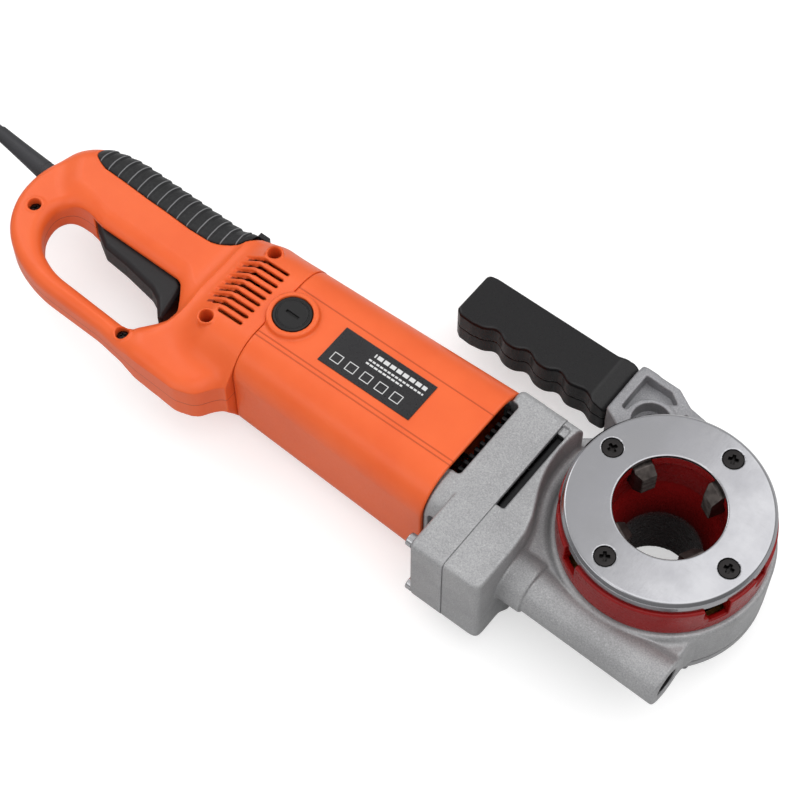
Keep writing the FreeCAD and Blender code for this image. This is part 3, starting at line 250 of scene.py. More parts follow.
class Mat:
    """A small helper around one node tree."""

    def __init__(self, name):
        self.m = bpy.data.materials.new(name)
        self.m.use_nodes = True
        self.t = self.m.node_tree
        self.t.nodes.clear()
        self.out = self.t.nodes.new("ShaderNodeOutputMaterial")
        self.b = self.t.nodes.new("ShaderNodeBsdfPrincipled")
        self.t.links.new(self.b.outputs[0], self.out.inputs[0])
        self.co = self.t.nodes.new("ShaderNodeTexCoord").outputs["Object"]
        self.xyz = None
        self.h = None

    def set(self, **k):
        for n, v in k.items():
            self.b.inputs[n.replace("_", " ")].default_value = v
        return self

    def n(self, kind, **k):
        o = self.t.nodes.new(kind)
        for a, v in k.items():
            setattr(o, a, v)
        return o

    def link(self, a, b):
        self.t.links.new(a, b)

    def axis(self, i):
        if self.xyz is None:
            s = self.n("ShaderNodeSeparateXYZ")
            self.link(self.co, s.inputs[0])
            self.xyz = s.outputs
        return self.xyz[i]

    def math(self, op, a, b=None, clamp=False):
        o = self.n("ShaderNodeMath", operation=op, use_clamp=clamp)
        for i, v in enumerate((a, b)):
            if v is None:
                continue
            if isinstance(v, (int, float)):
                o.inputs[i].default_value = v
            else:
                self.link(v, o.inputs[i])
        return o.outputs[0]

    def noise(self, scale, detail=4.0, rough=0.55, stretch=None, distort=0.0):
        o = self.n("ShaderNodeTexNoise")
        o.inputs["Scale"].default_value = scale
        o.inputs["Detail"].default_value = detail
        o.inputs["Roughness"].default_value = rough
        o.inputs["Distortion"].default_value = distort
        src = self.co
        if stretch:
            mp = self.n("ShaderNodeMapping")
            mp.inputs["Scale"].default_value = stretch
            self.link(self.co, mp.inputs[0])
            src = mp.outputs[0]
        self.link(src, o.inputs["Vector"])
        return o.outputs[0]

    def ramp(self, fac, a, b, lo=0.0, hi=1.0):
        o = self.n("ShaderNodeMapRange")
        o.inputs[1].default_value, o.inputs[2].default_value = lo, hi
        o.inputs[3].default_value, o.inputs[4].default_value = a, b
        self.link(fac, o.inputs[0])
        return o.outputs[0]

    def mix(self, fac, a, b, blend="MIX"):
        o = self.n("ShaderNodeMix", data_type="RGBA", blend_type=blend)
        if isinstance(fac, (int, float)):
            o.inputs[0].default_value = fac
        else:
            self.link(fac, o.inputs[0])
        for i, v in ((6, a), (7, b)):
            if isinstance(v, tuple):
                o.inputs[i].default_value = v
            else:
                self.link(v, o.inputs[i])
        return o.outputs[2]

    def band(self, src, centre, half, edge):
        """1 within half of centre, falling to 0 over edge."""
        d = self.math("ABSOLUTE", self.math("SUBTRACT", src, centre))
        return self.ramp(d, 1.0, 0.0, half, half + edge)

    def bump(self, height, strength, distance):
        o = self.n("ShaderNodeBump")
        o.inputs["Strength"].default_value = strength
        o.inputs["Distance"].default_value = distance
        self.link(height, o.inputs["Height"])
        if self.h is not None:
            self.link(self.h, o.inputs["Normal"])
        self.h = o.outputs[0]
        self.link(self.h, self.b.inputs["Normal"])
        return self

    def color(self, c):
        if isinstance(c, tuple):
            self.b.inputs["Base Color"].default_value = c
        else:
            self.link(c, self.b.inputs["Base Color"])
        return self

    def rough(self, r):
        self.link(r, self.b.inputs["Roughness"]) if not isinstance(r, float) else self.set(Roughness=r)
        return self


def plastic(name, rgb, lo=0.30, hi=0.42, dark=0.86, grain=0.00006, gscale=1500.0):
    m = Mat(name)
    base = srgb(*rgb)
    shade = tuple(c * dark for c in base[:3]) + (1.0,)
    m.color(m.mix(m.ramp(m.noise(38.0, 3.0), 0.0, 1.0, 0.35, 0.75), base, shade))
    m.rough(m.ramp(m.noise(900.0, 2.0), lo, hi, 0.3, 0.7))
    m.set(Specular_IOR_Level=0.32)
    m.bump(m.noise(gscale, 2.0, 0.6), 0.35, grain)
    return m


def box_mask(m, lo, hi, soft=0.0004):
    """1 inside a box given in millimetres."""
    f = None
    for i in range(3):
        c, hw = (lo[i] + hi[i]) / 2000, (hi[i] - lo[i]) / 2000
        b = m.band(m.axis(i), c, hw, soft)
        f = b if f is None else m.math("MULTIPLY", f, b)
    return f


def orange(name, seam_z=None, lines_y=(), dark=(), painted_groove_shade=False):
    m = Mat(name)
    base, deep = srgb(229, 99, 47), srgb(223, 92, 41)
    col = m.mix(m.ramp(m.noise(30.0, 3.0), 0.0, 1.0, 0.35, 0.75), base, deep)
    fine = m.noise(1300.0, 2.0, 0.6)
    m.rough(m.ramp(m.noise(700.0, 2.0), 0.30, 0.40, 0.3, 0.7))
    m.set(Specular_IOR_Level=0.32, Subsurface_Weight=0.06, Subsurface_Scale=0.002)
    m.b.inputs["Subsurface Radius"].default_value = (1.0, 0.35, 0.12)
    m.bump(fine, 0.25, 0.00005)
    groove = None
    if seam_z is not None:
        groove = m.band(m.axis(2), seam_z / 1000, 0.00022, 0.00016)
    for y in lines_y:
        g = m.band(m.axis(1), y / 1000, 0.00030, 0.0003)
        up = m.ramp(m.axis(2), 0.0, 1.0, 0.080, 0.082)
        g = m.math("MULTIPLY", m.math("MULTIPLY", g, up), 0.75)
        groove = g if groove is None else m.math("MAXIMUM", groove, g)
    if groove is not None:
        col = m.mix(m.math("MULTIPLY", groove, 0.7), col, srgb(150, 48, 16))
        m.bump(m.math("MULTIPLY", groove, -1.0), 0.8, 0.0003)
    # painted shade: each dark box paints the inside of the shell, seen through the vent slots, near-black
    for lo, hi in dark:
        col = m.mix(box_mask(m, lo, hi, 0.0012), col, srgb(34, 16, 12))
    if painted_groove_shade:
        # painted shade in the bottoms of the grooves that carry on from the slots
        t = m.math("FRACT", m.math("ADD", m.math("MULTIPLY", m.axis(1), 1000.0 / 5.3), 47.9 / 5.3 + 100.5))
        g = m.band(t, 0.5, 0.13, 0.09)
        g = m.math("MULTIPLY", g, box_mask(m, (-296.4, -44.6, 60), (-283.0, -2.5, 90), 0.0012))
        col = m.mix(m.math("MULTIPLY", g, 0.85), col, srgb(112, 34, 14))
    return m.color(col)


def casting(name, rgb=(168, 168, 169), dark=(152, 152, 153), rough=(0.42, 0.56), bump=0.00022, scale=1150.0, metal=0.45, shade_painted_hollows=()):
    m = Mat(name)
    big, mid, fine = m.noise(26.0, 4.0), m.noise(160.0, 4.0), m.noise(scale, 3.0, 0.65)
    col = m.mix(m.ramp(big, 0.0, 1.0, 0.35, 0.7), srgb(*rgb), srgb(*dark))
    sp = m.ramp(fine, 0.0, 1.0, 0.38, 0.66)
    col = m.mix(m.math("MULTIPLY", sp, 0.42), col, srgb(100, 100, 103))
    pale = m.ramp(m.noise(scale * 0.8, 2.0, 0.5), 0.0, 0.5, 0.6, 0.8)
    col = m.mix(pale, col, srgb(206, 206, 208))
    # painted shade: each box paints the inside of a slot or gap near-black
    for lo, hi in shade_painted_hollows:
        col = m.mix(box_mask(m, lo, hi, 0.001), col, srgb(26, 26, 28))
    m.color(col)
    m.set(Metallic=metal)
    m.rough(m.ramp(mid, rough[0], rough[1], 0.3, 0.7))
    m.bump(m.noise(90.0, 3.0), 0.25, 0.0004)
    m.bump(fine, 0.55, bump)
    return m


def steel(name, rgb=(190, 190, 192), lo=0.22, hi=0.36, stretch=(40, 900, 900), bump=0.00002):
    m = Mat(name)
    m.color(m.mix(m.ramp(m.noise(60.0, 3.0), 0.0, 1.0, 0.3, 0.7), srgb(*rgb), srgb(*[int(c * 0.86) for c in rgb])))
    m.set(Metallic=1.0)
    line = m.noise(1.0, 3.0, 0.6, stretch=stretch)
    m.rough(m.ramp(line, lo, hi, 0.3, 0.7))
    m.bump(line, 0.3, bump)
    return m


MT = {}
MT["housing"] = orange("orange_housing", lines_y=(-8.4, -45.6, -48.6))
# the dark box is painted shade inside the handle behind the vent slots
# the grooves behind the vent slots get painted shade in their bottoms
MT["handle"] = orange("orange_handle", seam_z=44.0, painted_groove_shade=True, dark=[((-282.0, -50, 20), (-264, -3, 78.6))])
# the two boxes paint shade into the slot in the gear head's top and into the vent gap at the adapter
MT["cast"] = casting("sandblasted_aluminium", shade_painted_hollows=[((-84.0, -50.4, 60), (-74.6, 7.4, 81.0)), ((-119, -47.4, 40), (-107.3, 7.4, 82.0))])
MT["cast_arm"] = casting("arm_aluminium", rgb=(160, 160, 163), dark=(140, 140, 143), rough=(0.44, 0.6))
MT["black"] = plastic("black_plastic", (20, 19, 21), 0.34, 0.5, 0.8, 0.00006, 1300.0)
MT["grip"] = plastic("grip_plastic", (15, 14, 16), 0.26, 0.36, 0.85, 0.00003, 900.0)
MT["charcoal"] = plastic("charcoal_plastic", (26, 24, 26), 0.38, 0.5, 0.85, 0.00006, 1300.0)
MT["cap"] = plastic("cap_plastic", (20, 19, 20), 0.36, 0.5, 0.85, 0.00006, 1300.0)
MT["cord"] = plastic("cord_rubber", (52, 52, 55), 0.46, 0.6, 0.85, 0.00006, 1100.0)
MT["steel"] = steel("zinc_steel")
MT["ground"] = steel("ground_steel", (205, 205, 206), 0.14, 0.25)
MT["dark_steel"] = steel("black_oxide", (52, 50, 50), 0.3, 0.48)
MT["copper"] = steel("lacquered_copper", (196, 112, 66), 0.3, 0.45)
# painted shade: the drive sleeve deep inside the bore is made near-black, with a red cast
MT["bore_shade_steel"] = steel("painted_shade_bore_steel", (26, 16, 15), 0.5, 0.62, bump=0.000006)
MT["bronze"] = steel("sintered_bronze", (186, 142, 80), 0.38, 0.52)
MT["lamination"] = steel("laminated_steel", (128, 128, 132), 0.35, 0.5, stretch=(2200, 30, 30), bump=0.00006)

m = Mat("ribbed_rubber")
col = m.mix(m.ramp(m.noise(70.0, 4.0), 0.0, 1.0, 0.3, 0.7), srgb(19, 19, 21), srgb(13, 13, 15))
# painted highlight: a pale line at the crest of each rib stands in for the glint along it
along = m.math("ADD", m.math("MULTIPLY", m.axis(0), 1000.0 / 8.1), m.math("MULTIPLY", m.axis(2), 10.0))
turns = m.math("FRACT", m.math("ADD", along, 423.0 / 8.1 - 0.44 + 100.0))
ridge = m.math("MULTIPLY", m.band(turns, 0.80, 0.028, 0.025), 0.75)
col = m.mix(ridge, col, srgb(128, 128, 130))
m.color(col)
m.rough(m.ramp(m.noise(500.0, 3.0), 0.50, 0.68, 0.3, 0.7))
m.set(Sheen_Weight=0.08, Sheen_Roughness=0.5, Specular_IOR_Level=0.35)
m.bump(m.noise(800.0, 3.0), 0.5, 0.0002)
MT["pad"] = m

m = Mat("gloss_red_paint")
r2 = m.math("SQRT", m.math("ADD", m.math("POWER", m.axis(0), 2.0), m.math("POWER", m.axis(1), 2.0)))
inner = m.ramp(r2, 1.0, 0.0, 0.0440, 0.0455)
col = m.mix(m.ramp(m.noise(45.0, 4.0), 0.0, 1.0, 0.35, 0.7), srgb(140, 16, 15), srgb(126, 12, 12))
# painted shade: inside the bore the red darkens to near-black towards the bottom
bore_painted_shade = m.mix(m.ramp(m.axis(2), 1.0, 0.0, 0.040, 0.062), srgb(132, 22, 22), srgb(34, 12, 12))
m.color(m.mix(inner, col, bore_painted_shade))
m.rough(m.ramp(m.noise(300.0, 2.0), 0.24, 0.33, 0.3, 0.7))
m.set(Coat_Weight=0.04, Coat_Roughness=0.12, Specular_IOR_Level=0.2)
m.bump(m.noise(70.0, 2.0), 0.12, 0.0004)
m.bump(m.math("MULTIPLY", m.noise(260.0, 4.0), inner), 0.5, 0.0009)
MT["red"] = m

m = Mat("polished_chrome")
scratch = m.noise(1.0, 4.0, 0.7, stretch=(90, 1400, 300), distort=0.4)
scratch2 = m.noise(1.0, 3.0, 0.7, stretch=(1300, 110, 300), distort=0.5)
patch = m.noise(40.0, 4.0)
m.color(m.mix(m.ramp(patch, 0.0, 1.0, 0.35, 0.75), srgb(167, 167, 170), srgb(157, 157, 161)))
m.set(Metallic=1.0)
m.rough(m.math("ADD", m.ramp(patch, 0.10, 0.20, 0.35, 0.75), m.ramp(scratch, 0.0, 0.10, 0.58, 0.72)))
m.bump(m.math("ADD", scratch, scratch2), 0.22, 0.00003)
m.bump(m.noise(55.0, 3.0), 0.20, 0.00025)
MT["chrome"] = m

m = Mat("chaser_steel")
m.color(m.mix(m.ramp(m.noise(220.0, 4.0), 0.0, 1.0, 0.35, 0.7), srgb(88, 82, 79), srgb(52, 47, 45)))
m.set(Metallic=0.85)
m.rough(m.ramp(m.noise(600.0, 3.0), 0.28, 0.46, 0.3, 0.7))
m.bump(m.noise(1.0, 3.0, 0.6, stretch=(300, 300, 1800)), 0.35, 0.00006)
MT["die"] = m

m = Mat("blank_label")
x, y = m.axis(0), m.axis(1)
mark = None
# plain broken bars where a label carries its lines of print
for yc, hy, xc, hx, per, duty in ((-0.0183, 0.00125, -0.1715, 0.0185, 0.0046, 0.37), (-0.0224, 0.00055, -0.1720, 0.0195, 0.0027, 0.36), (-0.0250, 0.00055, -0.1785, 0.0130, 0.0031, 0.38)):
    t = m.math("FRACT", m.math("ADD", m.math("MULTIPLY", x, 1.0 / per), 200.0))
    bar = m.math("MULTIPLY", m.math("MULTIPLY", m.band(y, yc, hy, 0.0001), m.band(x, xc, hx, 0.0001)), m.band(t, 0.5, duty, 0.04))
    mark = bar if mark is None else m.math("MAXIMUM", mark, bar)
# and a row of blank boxes
t = m.math("FRACT", m.math("ADD", m.math("MULTIPLY", x, 1.0 / 0.0108), 0.2120 / 0.0108 + 10.0))
outer = m.math("MULTIPLY", m.band(t, 0.5, 0.30, 0.012), m.band(y, -0.0330, 0.0030, 0.0001))
inside = m.math("MULTIPLY", m.band(t, 0.5, 0.255, 0.012), m.band(y, -0.0330, 0.0025, 0.0001))
boxes = m.math("MULTIPLY", m.math("SUBTRACT", outer, inside), m.band(x, -0.1850, 0.0270, 0.0001))
mark = m.math("MAXIMUM", mark, boxes)
col = m.mix(m.ramp(m.noise(60.0, 3.0), 0.0, 1.0, 0.3, 0.7), srgb(36, 35, 37), srgb(30, 29, 31))
m.color(m.mix(mark, col, srgb(205, 205, 205)))
m.rough(m.ramp(m.noise(400.0, 2.0), 0.24, 0.34, 0.3, 0.7))
m.bump(m.noise(500.0, 2.0), 0.2, 0.00003)
m.set(Specular_IOR_Level=0.3)
MT["label"] = m

MT = {k: v.m for k, v in MT.items()}


def wear(ob, key):
    ob.data.materials.clear()
    ob.data.materials.append(MT[key])
    return ob


# ------------------------------------------------------------------ camera
cam_data = bpy.data.cameras.new("camera")
cam_data.lens, cam_data.sensor_width = 99.0, 36.0
cam_data.clip_end = 50.0
cam = bpy.data.objects.new("camera", cam_data)
bpy.context.scene.collection.objects.link(cam)
cam_r, cam_u, cam_f = (0.7848, 0.6198, 0.0), (-0.5395, 0.6831, 0.4924), (-0.3052, 0.3864, -0.8704)
cam.matrix_world = Matrix(((cam_r[0], cam_u[0], -cam_f[0], 0.2180), (cam_r[1], cam_u[1], -cam_f[1], -0.5123),
                           (cam_r[2], cam_u[2], -cam_f[2], 1.1674), (0, 0, 0, 1)))
bpy.context.scene.camera = cam

# ------------------------------------------------------------------ mains cord
ROUTE = [(-494.0, -17.7, 44.0), (-516.0, -15.6, 43.3), (-540.0, -14.2, 34.5), (-561.0, -14.6, 20.0), (-580.0, -15.6, 8.8)]
COIL = (-600.0, -79.6)
LEAD = [(-583.0, -142.8, 12.7), (-565.0, -144.6, 12.9), (-548.0, -148.6, 13.1)]
R_IN, R_OUT, TURNS, PER = 32.2, 62.9, 7.5, 20
route = list(ROUTE)
swell = 1.0124
steps = int(TURNS * PER)
for k in range(steps + 1):
    q = k / steps
    if q < 0.5:
        r, z = R_OUT + (R_IN - R_OUT) * (q / 0.5), 4.25
    else:
        r, z = R_IN + (R_OUT - R_IN) * ((q - 0.5) / 0.5), 12.55
    z = 4.25 + (12.55 - 4.25) * float(sstep(0.487, 0.513, np.float64(q)))
    a = math.pi / 2 + 2 * math.pi * TURNS * q
    route.append((COIL[0] + r * swell * math.cos(a), COIL[1] + r * swell * math.sin(a), z))
route += LEAD
cu = bpy.data.curves.new("mains_cord_line", "CURVE")
cu.dimensions = "3D"
sp = cu.splines.new("NURBS")
sp.points.add(len(route) - 1)
for p, q in zip(sp.points, route):
    p.co = (q[0] / 1000, q[1] / 1000, q[2] / 1000, 1.0)
sp.order_u = 3
sp.use_endpoint_u = True
cu.bevel_depth = 0.004
cu.bevel_resolution = 5
cu.resolution_u = 6
cu.use_fill_caps = True
cord = bpy.data.objects.new("cord_line", cu)
bpy.context.scene.collection.objects.link(cord)
cu.materials.append(MT["cord"])
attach(cord, "machine")
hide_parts("mains_cord", "cord_coil", "plug_lead")

# ------------------------------------------------------------------ outlines shared by the moulded parts
LOOP = Poly([(-250, 13), (-404, 13.6, 99), (-428, 7, 99), (-441, -8, 99), (-448.2, -28, 99), (-447, -50, 99), (-437, -69, 99), (-419, -82.5, 99), (-395, -90, 99),
             (-345, -90.8, 60), (-312, -94.8, 60), (-280, -95.8, 16), (-267, -91.5, 14), (-258, -76.0, 8), (-250, -74)], 8)
HOLE = Poly([(-390, -36, 99), (-402, -33.0, 99), (-414, -34.5, 99), (-421, -44, 99), (-418.5, -58, 99), (-408, -70, 99), (-391, -77.2, 99), (-327, -79.8, 7), (-312, -63, 5), (-311, -55, 7), (-325, -36, 9)], 8)
MAIN = Poly([(-285, 13), (-404, 13.6, 99), (-428, 7, 99), (-440, -8, 30), (-425, -30, 20), (-402, -33.2, 8), (-390, -36, 6), (-325, -36, 9), (-295, -40), (-285, -30)], 8)
WING = Poly([(-250, 15), (-300, 13.5), (-322, 6, 10), (-322, -36, 5), (-311, -55, 6), (-312, -63, 5), (-324, -79.5, 8), (-318, -92.0, 12), (-280, -95.8, 16), (-267, -91.5, 14), (-258, -76.0, 8), (-250, -74)], 8)
SLOT = Poly([(-397.5, -41), (-397.5, -19), (-313.5, -19), (-311.0, -40), (-311.0, -57.0), (-324, -43.0)])
SEAT = Poly([(-5.6, 62.0), (-5.6, 70), (30, 70), (30, 18), (-5.6, 18), (-5.6, 26.0), (6.5, 26.0, 3), (10.2, 33.0, 4), (10.2, 55.0, 4), (6.5, 62.0, 3)])
SCREWS = [(-431.5, -50.0, 51.0, 0.4), (-328.5, -85.0, 51.0, 0.4), (-286.2, -55.4, 64.0, 80.9), (-283.0, 2.6, 64.0, 80.4)]


def handle_body(x, y, z):
    edge, hole = LOOP(x, y), HOLE(x, y)
    loop = ext(np.maximum(edge, -hole), z, 31.0, 57.0, 7.0)
    main = ext(MAIN(x, y), z, 25.0, 63.0, 13.0)
    wing = ext(WING(x, y), z, 27.0, 61.0, 9.0)
    s1 = sstep(-308.0, -281.0, x)
    s2 = np.clip((x + 282.0) / 27.0, 0, 1)
    y0 = (MY - 38.0) + (-5.0) * s1 - 0.7 * s2
    y1 = (MY + 39.0) + 4.0 * s1 + 0.7 * s2
    z0 = 25.0 - 23.5 * s1 - 1.5 * s2
    z1 = 63.0 + 19.0 * s1 + 2.0 * s2
    r = 14.0 + 9.0 * s1
    back = ext(rrect(y, z, y0, y1, z0, z1, r), x, -304.0, -240.0, 0.0)
    d = smin(loop, main, 9.0)
    d = smin(d, wing, 9.0)
    d = np.maximum(np.maximum(d, edge), np.abs(z - 44.0) - 19.0)
    d = smin(d, back, 15.0)
    return np.maximum(np.maximum(d, -hole), y - (13.4 + 4.0 * s1))


PADP = Poly([(-424.5, 40), (-424.5, -1.0, 6), (-414.0, -5.6, 14), (-342.0, -7.6, 30), (-324.0, -7.0, 20), (-311.0, 1.5, 14), (-301.0, 16.0, 10), (-299.0, 40)], 8)


def pad_seat(x, y, body):
    """Where the soft pad lies: a skin on the far side of the bar, with curved ends."""
    return np.maximum(PADP(x, y), -(body + 3.0))


def handle_f(x, y, z):
    body = handle_body(x, y, z)
    seat = pad_seat(x, y, body)
    d = np.maximum(body, -(body + 3.2))
    frontwall = np.maximum(np.maximum(body, np.abs(x + 257.2) - 1.9), -rrect(y, z, MY - 41.0, MY + 41.0, 3.2, 81.0, 20.0))
    d = np.minimum(d, frontwall)
    d = np.minimum(d, np.maximum(body, seat - 2.4))
    d = np.maximum(np.maximum(d, -seat), x + 255.3)
    d = np.maximum(d, -np.maximum(SLOT(x, y), np.abs(z - 44.0) - 10.2))
    for sx, sy, sz, top in SCREWS:
        c = np.sqrt((x - sx) ** 2 + (y - sy) ** 2)
        # a slightly raised rim round each screw well
        rim = smax(c - 5.6, z - top, 0.8) if top > 1 else np.maximum(c - 5.6, body - top)
        d = smin(d, np.maximum(rim, 44.0 - z), 1.4)
        d = np.minimum(d, np.maximum(np.maximum(c - 6.0, body), 20.0 - z))
        d = smax(d, -np.maximum(c - 4.2, sz - z), 0.9)
    d = smin(d, np.maximum(np.maximum(np.sqrt((x + 391.0) ** 2 + (y + 28.0) ** 2) - 5.0, np.maximum(np.abs(z - 44.0) - 18.0, body)), -(np.abs(z - 44.0) - 10.2)), 0.3)
    for k in range(9):
        yk = -47.7 + 5.3 * k
        long = (-282.5, -284.0)[k > 0]
        d = smax(d, -np.maximum(seg(x, y, long, yk, -266.3, yk, 1.15), 62.0 - z), 0.5)
        if k:
            end = -291.0 if k == 1 else -298.0
            g = seg(x, y, end, yk - 0.2, -283.0, yk, 1.4)
            deep = 1.2 + 1.2 * np.clip((x + 299.0) / 6.0, 0, 1)
            d = smax(d, -smax(g, -(body + deep), 0.5), 1.1)
    ring = np.sqrt((x + 244.5) ** 2 + (y - MY) ** 2) - 15.8
    d = np.maximum(d, -np.maximum(ring, 70.0 - z))
    d = np.maximum(d, -np.maximum(ring, z - 9.0))
    # holes for the cord sleeve and the selector
    ux, uy = -0.99544, 0.09539
    px, py = x + 446.0, y + 22.3
    along = px * ux + py * uy
    off = np.sqrt((px * uy - py * ux) ** 2 + (z - 44.0) ** 2)
    d = smax(d, -np.maximum(off - 7.0, -along - 12.0), 0.8)
    return np.maximum(d, -np.maximum(np.sqrt((x + 306.0) ** 2 + (z - 44.0) ** 2) - 4.4, -y + 2.0))


def housing_f(x, y, z):
    q = np.clip((x + 255.0) / 142.0, 0, 1)
    half, top, r = 43.7 + 4.5 * q, 84.0 + 4.0 * q, 23.0 + 2.0 * q
    d = rrect(y, z, MY - half, MY + half, 0.0, top, r)
    d = ext(d, x, -255.0, -113.0, 1.0)
    ring = np.sqrt((x + 244.5) ** 2 + (y - MY) ** 2)
    d = smin(d, ext(ring - 15.7, z, 70.0, 88.2, 1.8), 2.0)
    d = smin(d, ext(ring - 15.5, z, 0.3, 14.6, 0.8), 1.0)
    d = np.maximum(d, -rrect(y, z, MY - half + 3.2, MY + half - 3.2, 3.2, top - 3.2, r - 3.2))
    tube = np.minimum(np.maximum(ring - 15.0, np.abs(z - 77.5) - 7.5), np.maximum(ring - 15.5, np.abs(z - 8.0) - 6.6))
    d = np.minimum(d, tube)
    d = smax(d, -np.maximum(ring - 12.2, 40.0 - z), 0.6)
    d = smax(d, -np.maximum(ring - 12.2, z - 40.0), 0.6)
    return d


SEC = [(18.5, 84.0, 5), (-99.0, 84.0, 5), (-99.0, 14.0, 13), (-76.0, 14.0, 6), (-66.0, 2.0, 6), (18.5, 2.0, 10)]
SECP = Poly(SEC)
SECI = Poly([(14.5, 80.0, 2), (-95.0, 80.0, 2), (-95.0, 18.0, 9), (-74.2, 18.0, 3), (-64.2, 6.0, 3), (14.5, 6.0, 6)])


def adapter_f(x, y, z):
    flange = np.minimum(ext(rrect(y, z, MY - 46.2, MY + 45.2, 2.0, 84.0, 20.0), x, -112.7, -97.0, 1.0), blk(x, y, z, (-112.7, -26.0, 2.0), (-92.0, 18.5, 84.0), 4.0))
    case = np.maximum(smax(SECP(y, z), -102.0 - x, 2.2), x + 80.0)
    spig = ext(rrect(y, z, MY - 44.2, MY + 44.2, 4.2, 83.0, 20.0), x, -121.0, -110.0, 0.5)
    d = np.minimum(np.minimum(flange, case), spig)
    d = np.maximum(d, -ext(rrect(y, z, MY - 40.5, MY + 40.5, 8.0, 79.5, 17.0), x, -130.0, -113.5))
    d = np.maximum(d, -ext(SECI(y, z), x, -99.0, -70.0))
    d = np.maximum(d, -ext(np.sqrt((y - MY) ** 2 + (z - MZ) ** 2) - 13.0, x, -130.0, -103.0))
    d = np.maximum(d, -ext(np.sqrt((y - MY) ** 2 + (z - MZ) ** 2) - 7.0, x, -130.0, -90.0))
    d = smax(d, -blk(x, y, z, (-119.0, -48.0, 60.0), (-106.6, 8.0, 95.0), 2.4), 1.0)
    d = smax(d, -blk(x, y, z, (-109.5, -120.0, 14.0), (-104.8, -66.5, 68.0), 2.0), 1.0)
    return d


def comb_f(x, y, z):
    """Dark louvres that stand in the gap between the motor and the gear case."""
    bar = np.abs(((y + 20.0) / 5.1 + 0.5) % 1.0 - 0.5) * 5.1 - 1.15
    d = np.maximum(bar, np.maximum(np.abs(x + 110.4) - 2.4, np.abs(z - 66.0) - 8.5))
    back = np.maximum(np.abs(x + 107.9) - 0.9, np.abs(z - 68.0) - 9.0)
    return np.maximum(smin(d, back, 0.6), np.abs(y + 20.0) - 27.6)


ARCP = [(-71.9 * math.cos(math.radians(a)), 71.9 * math.sin(math.radians(a))) for a in (12, 8, 4, 0, -4, -8, -12, -16, -20, -24, -28)]
CASE = Poly([(-86.0, 18.5), (-67.5, 18.5, 3)] + ARCP + [(-59.2, -43.0, 6), (-56.4, -53.0, 6), (-55.4, -66.0, 4), (-55.4, -99.0, 6), (-86.0, -99.0)])
WEB = Poly([(-62, -66.5), (48, -66.5, 1), (48.6, -40.8), (0, 0), (-41, 48.5), (-79, 18.4), (-79, -66.5)])
LUG = Poly([(-62.0, 52.0, 6), (-62.0, 77.5, 9), (-40.0, 77.5, 9), (-22.0, 85.0, 9), (-4.0, 85.0, 9), (-2.0, 40.0), (-42.0, 30.0)])


def head_f(x, y, z):
    rr = np.sqrt(x * x + y * y)
    case = smax(ext(CASE(x, y), z, -10.0, 95.0, 0.0), SECP(y, z), 2.6)
    case = np.maximum(case, -80.0 - x)
    pan = ext(rr - 63.5, z, 30.0, 67.0, 2.2)
    web = ext(WEB(x, y), z, 30.0, 62.4, 1.5)
    web = np.maximum(web, -80.0 - x)
    tr = np.sqrt((y - WY) ** 2 + (z - WZ) ** 2)
    tube = ext(tr - (14.2 + (x + 42.0) * 0.0109), x, -60.0, 50.0, 1.4)
    collar = ext(tr - 15.9, x, -60.0, -39.5, 1.2)
    lug = np.maximum(ext(LUG(x, y), z, 21.0, 30.4, 1.5), -(rr - 59.5))
    d = smin(pan, web, 4.0)
    d = smin(d, case, 4.0)
    d = smin(d, smin(tube, collar, 0.7), 1.4)
    d = smin(d, lug, 3.0)
    d = np.maximum(d, -ext(rr - 59.4, z, 20.0, 60.5))
    d = smax(d, -ext(rr - 56.0, z, 55.0, 90.0), 0.8)
    d = np.maximum(d, -ext(tr - 12.2, x, -52.0, 34.0))
    d = np.maximum(d, -ext(tr - 11.0, x, -70.5, 46.0))
    d = smax(d, -ext(tr - 8.9, x, 40.0, 70.0), 0.8)
    d = np.maximum(d, -ext(tr - 27.2, x, -90.0, -69.0))
    ir = np.sqrt((y + 44.971) ** 2 + (z - 28.439) ** 2)
    d = np.maximum(d, -ext(ir - 7.8, x, -90.0, -67.5))
    d = smax(d, -blk(x, y, z, (-84.0, -50.0, 77.0), (-74.4, 7.5, 95.0), 1.6), 0.7)
    d = smax(d, -blk(x, y, z, (-79.4, 2.0, 81.8), (-74.4, 13.0, 95.0), 1.4), 0.7)
    d = np.maximum(d, -ext(np.sqrt((x + 50.9) ** 2 + (y - 63.6) ** 2) - 3.3, z, 10.0, 40.0))
    d = np.maximum(d, -ext(np.sqrt((x + 14.0) ** 2 + (y - 74.0) ** 2) - 3.3, z, 10.0, 40.0))
    return d


ARM = Poly([(-72.0, 54.0, 3), (-66.0, 49.5, 4), (-58.0, 50.5), (-51.0, 48.6), (-43.0, 50.8, 6), (-34.0, 57.0, 6), (-24.0, 67.0, 6), (-12.0, 66.5, 5), (-4.5, 70.0, 6), (-4.5, 79.0, 8), (-14.0, 82.5, 10),
            (-38.0, 86.0, 6), (-50.0, 92.5, 3), (-74.0, 92.5, 3), (-76.5, 86.0, 2), (-76.5, 56.0, 2)])
ARMB = Poly([(-62.5, 51.5, 3), (-62.5, 90.5, 3), (-66.0, 92.5, 2), (-76.5, 92.5, 2), (-76.5, 55.0, 2), (-68.5, 51.5, 3)])
TRI = Poly([(-70.5, 61.5, 1.5), (-70.5, 87.5, 1.5), (-52.5, 87.5, 1.5), (-44.5, 82.5, 1.5), (-50.9, 79.4), (-58.8, 77.3), (-64.5, 72.0), (-66.8, 65.0), (-67.0, 61.5, 1.5)])
TRI2 = Poly([(-36, 68, 1.5), (-24, 73, 1.5), (-24, 79, 1.5), (-38, 80, 1.5)])


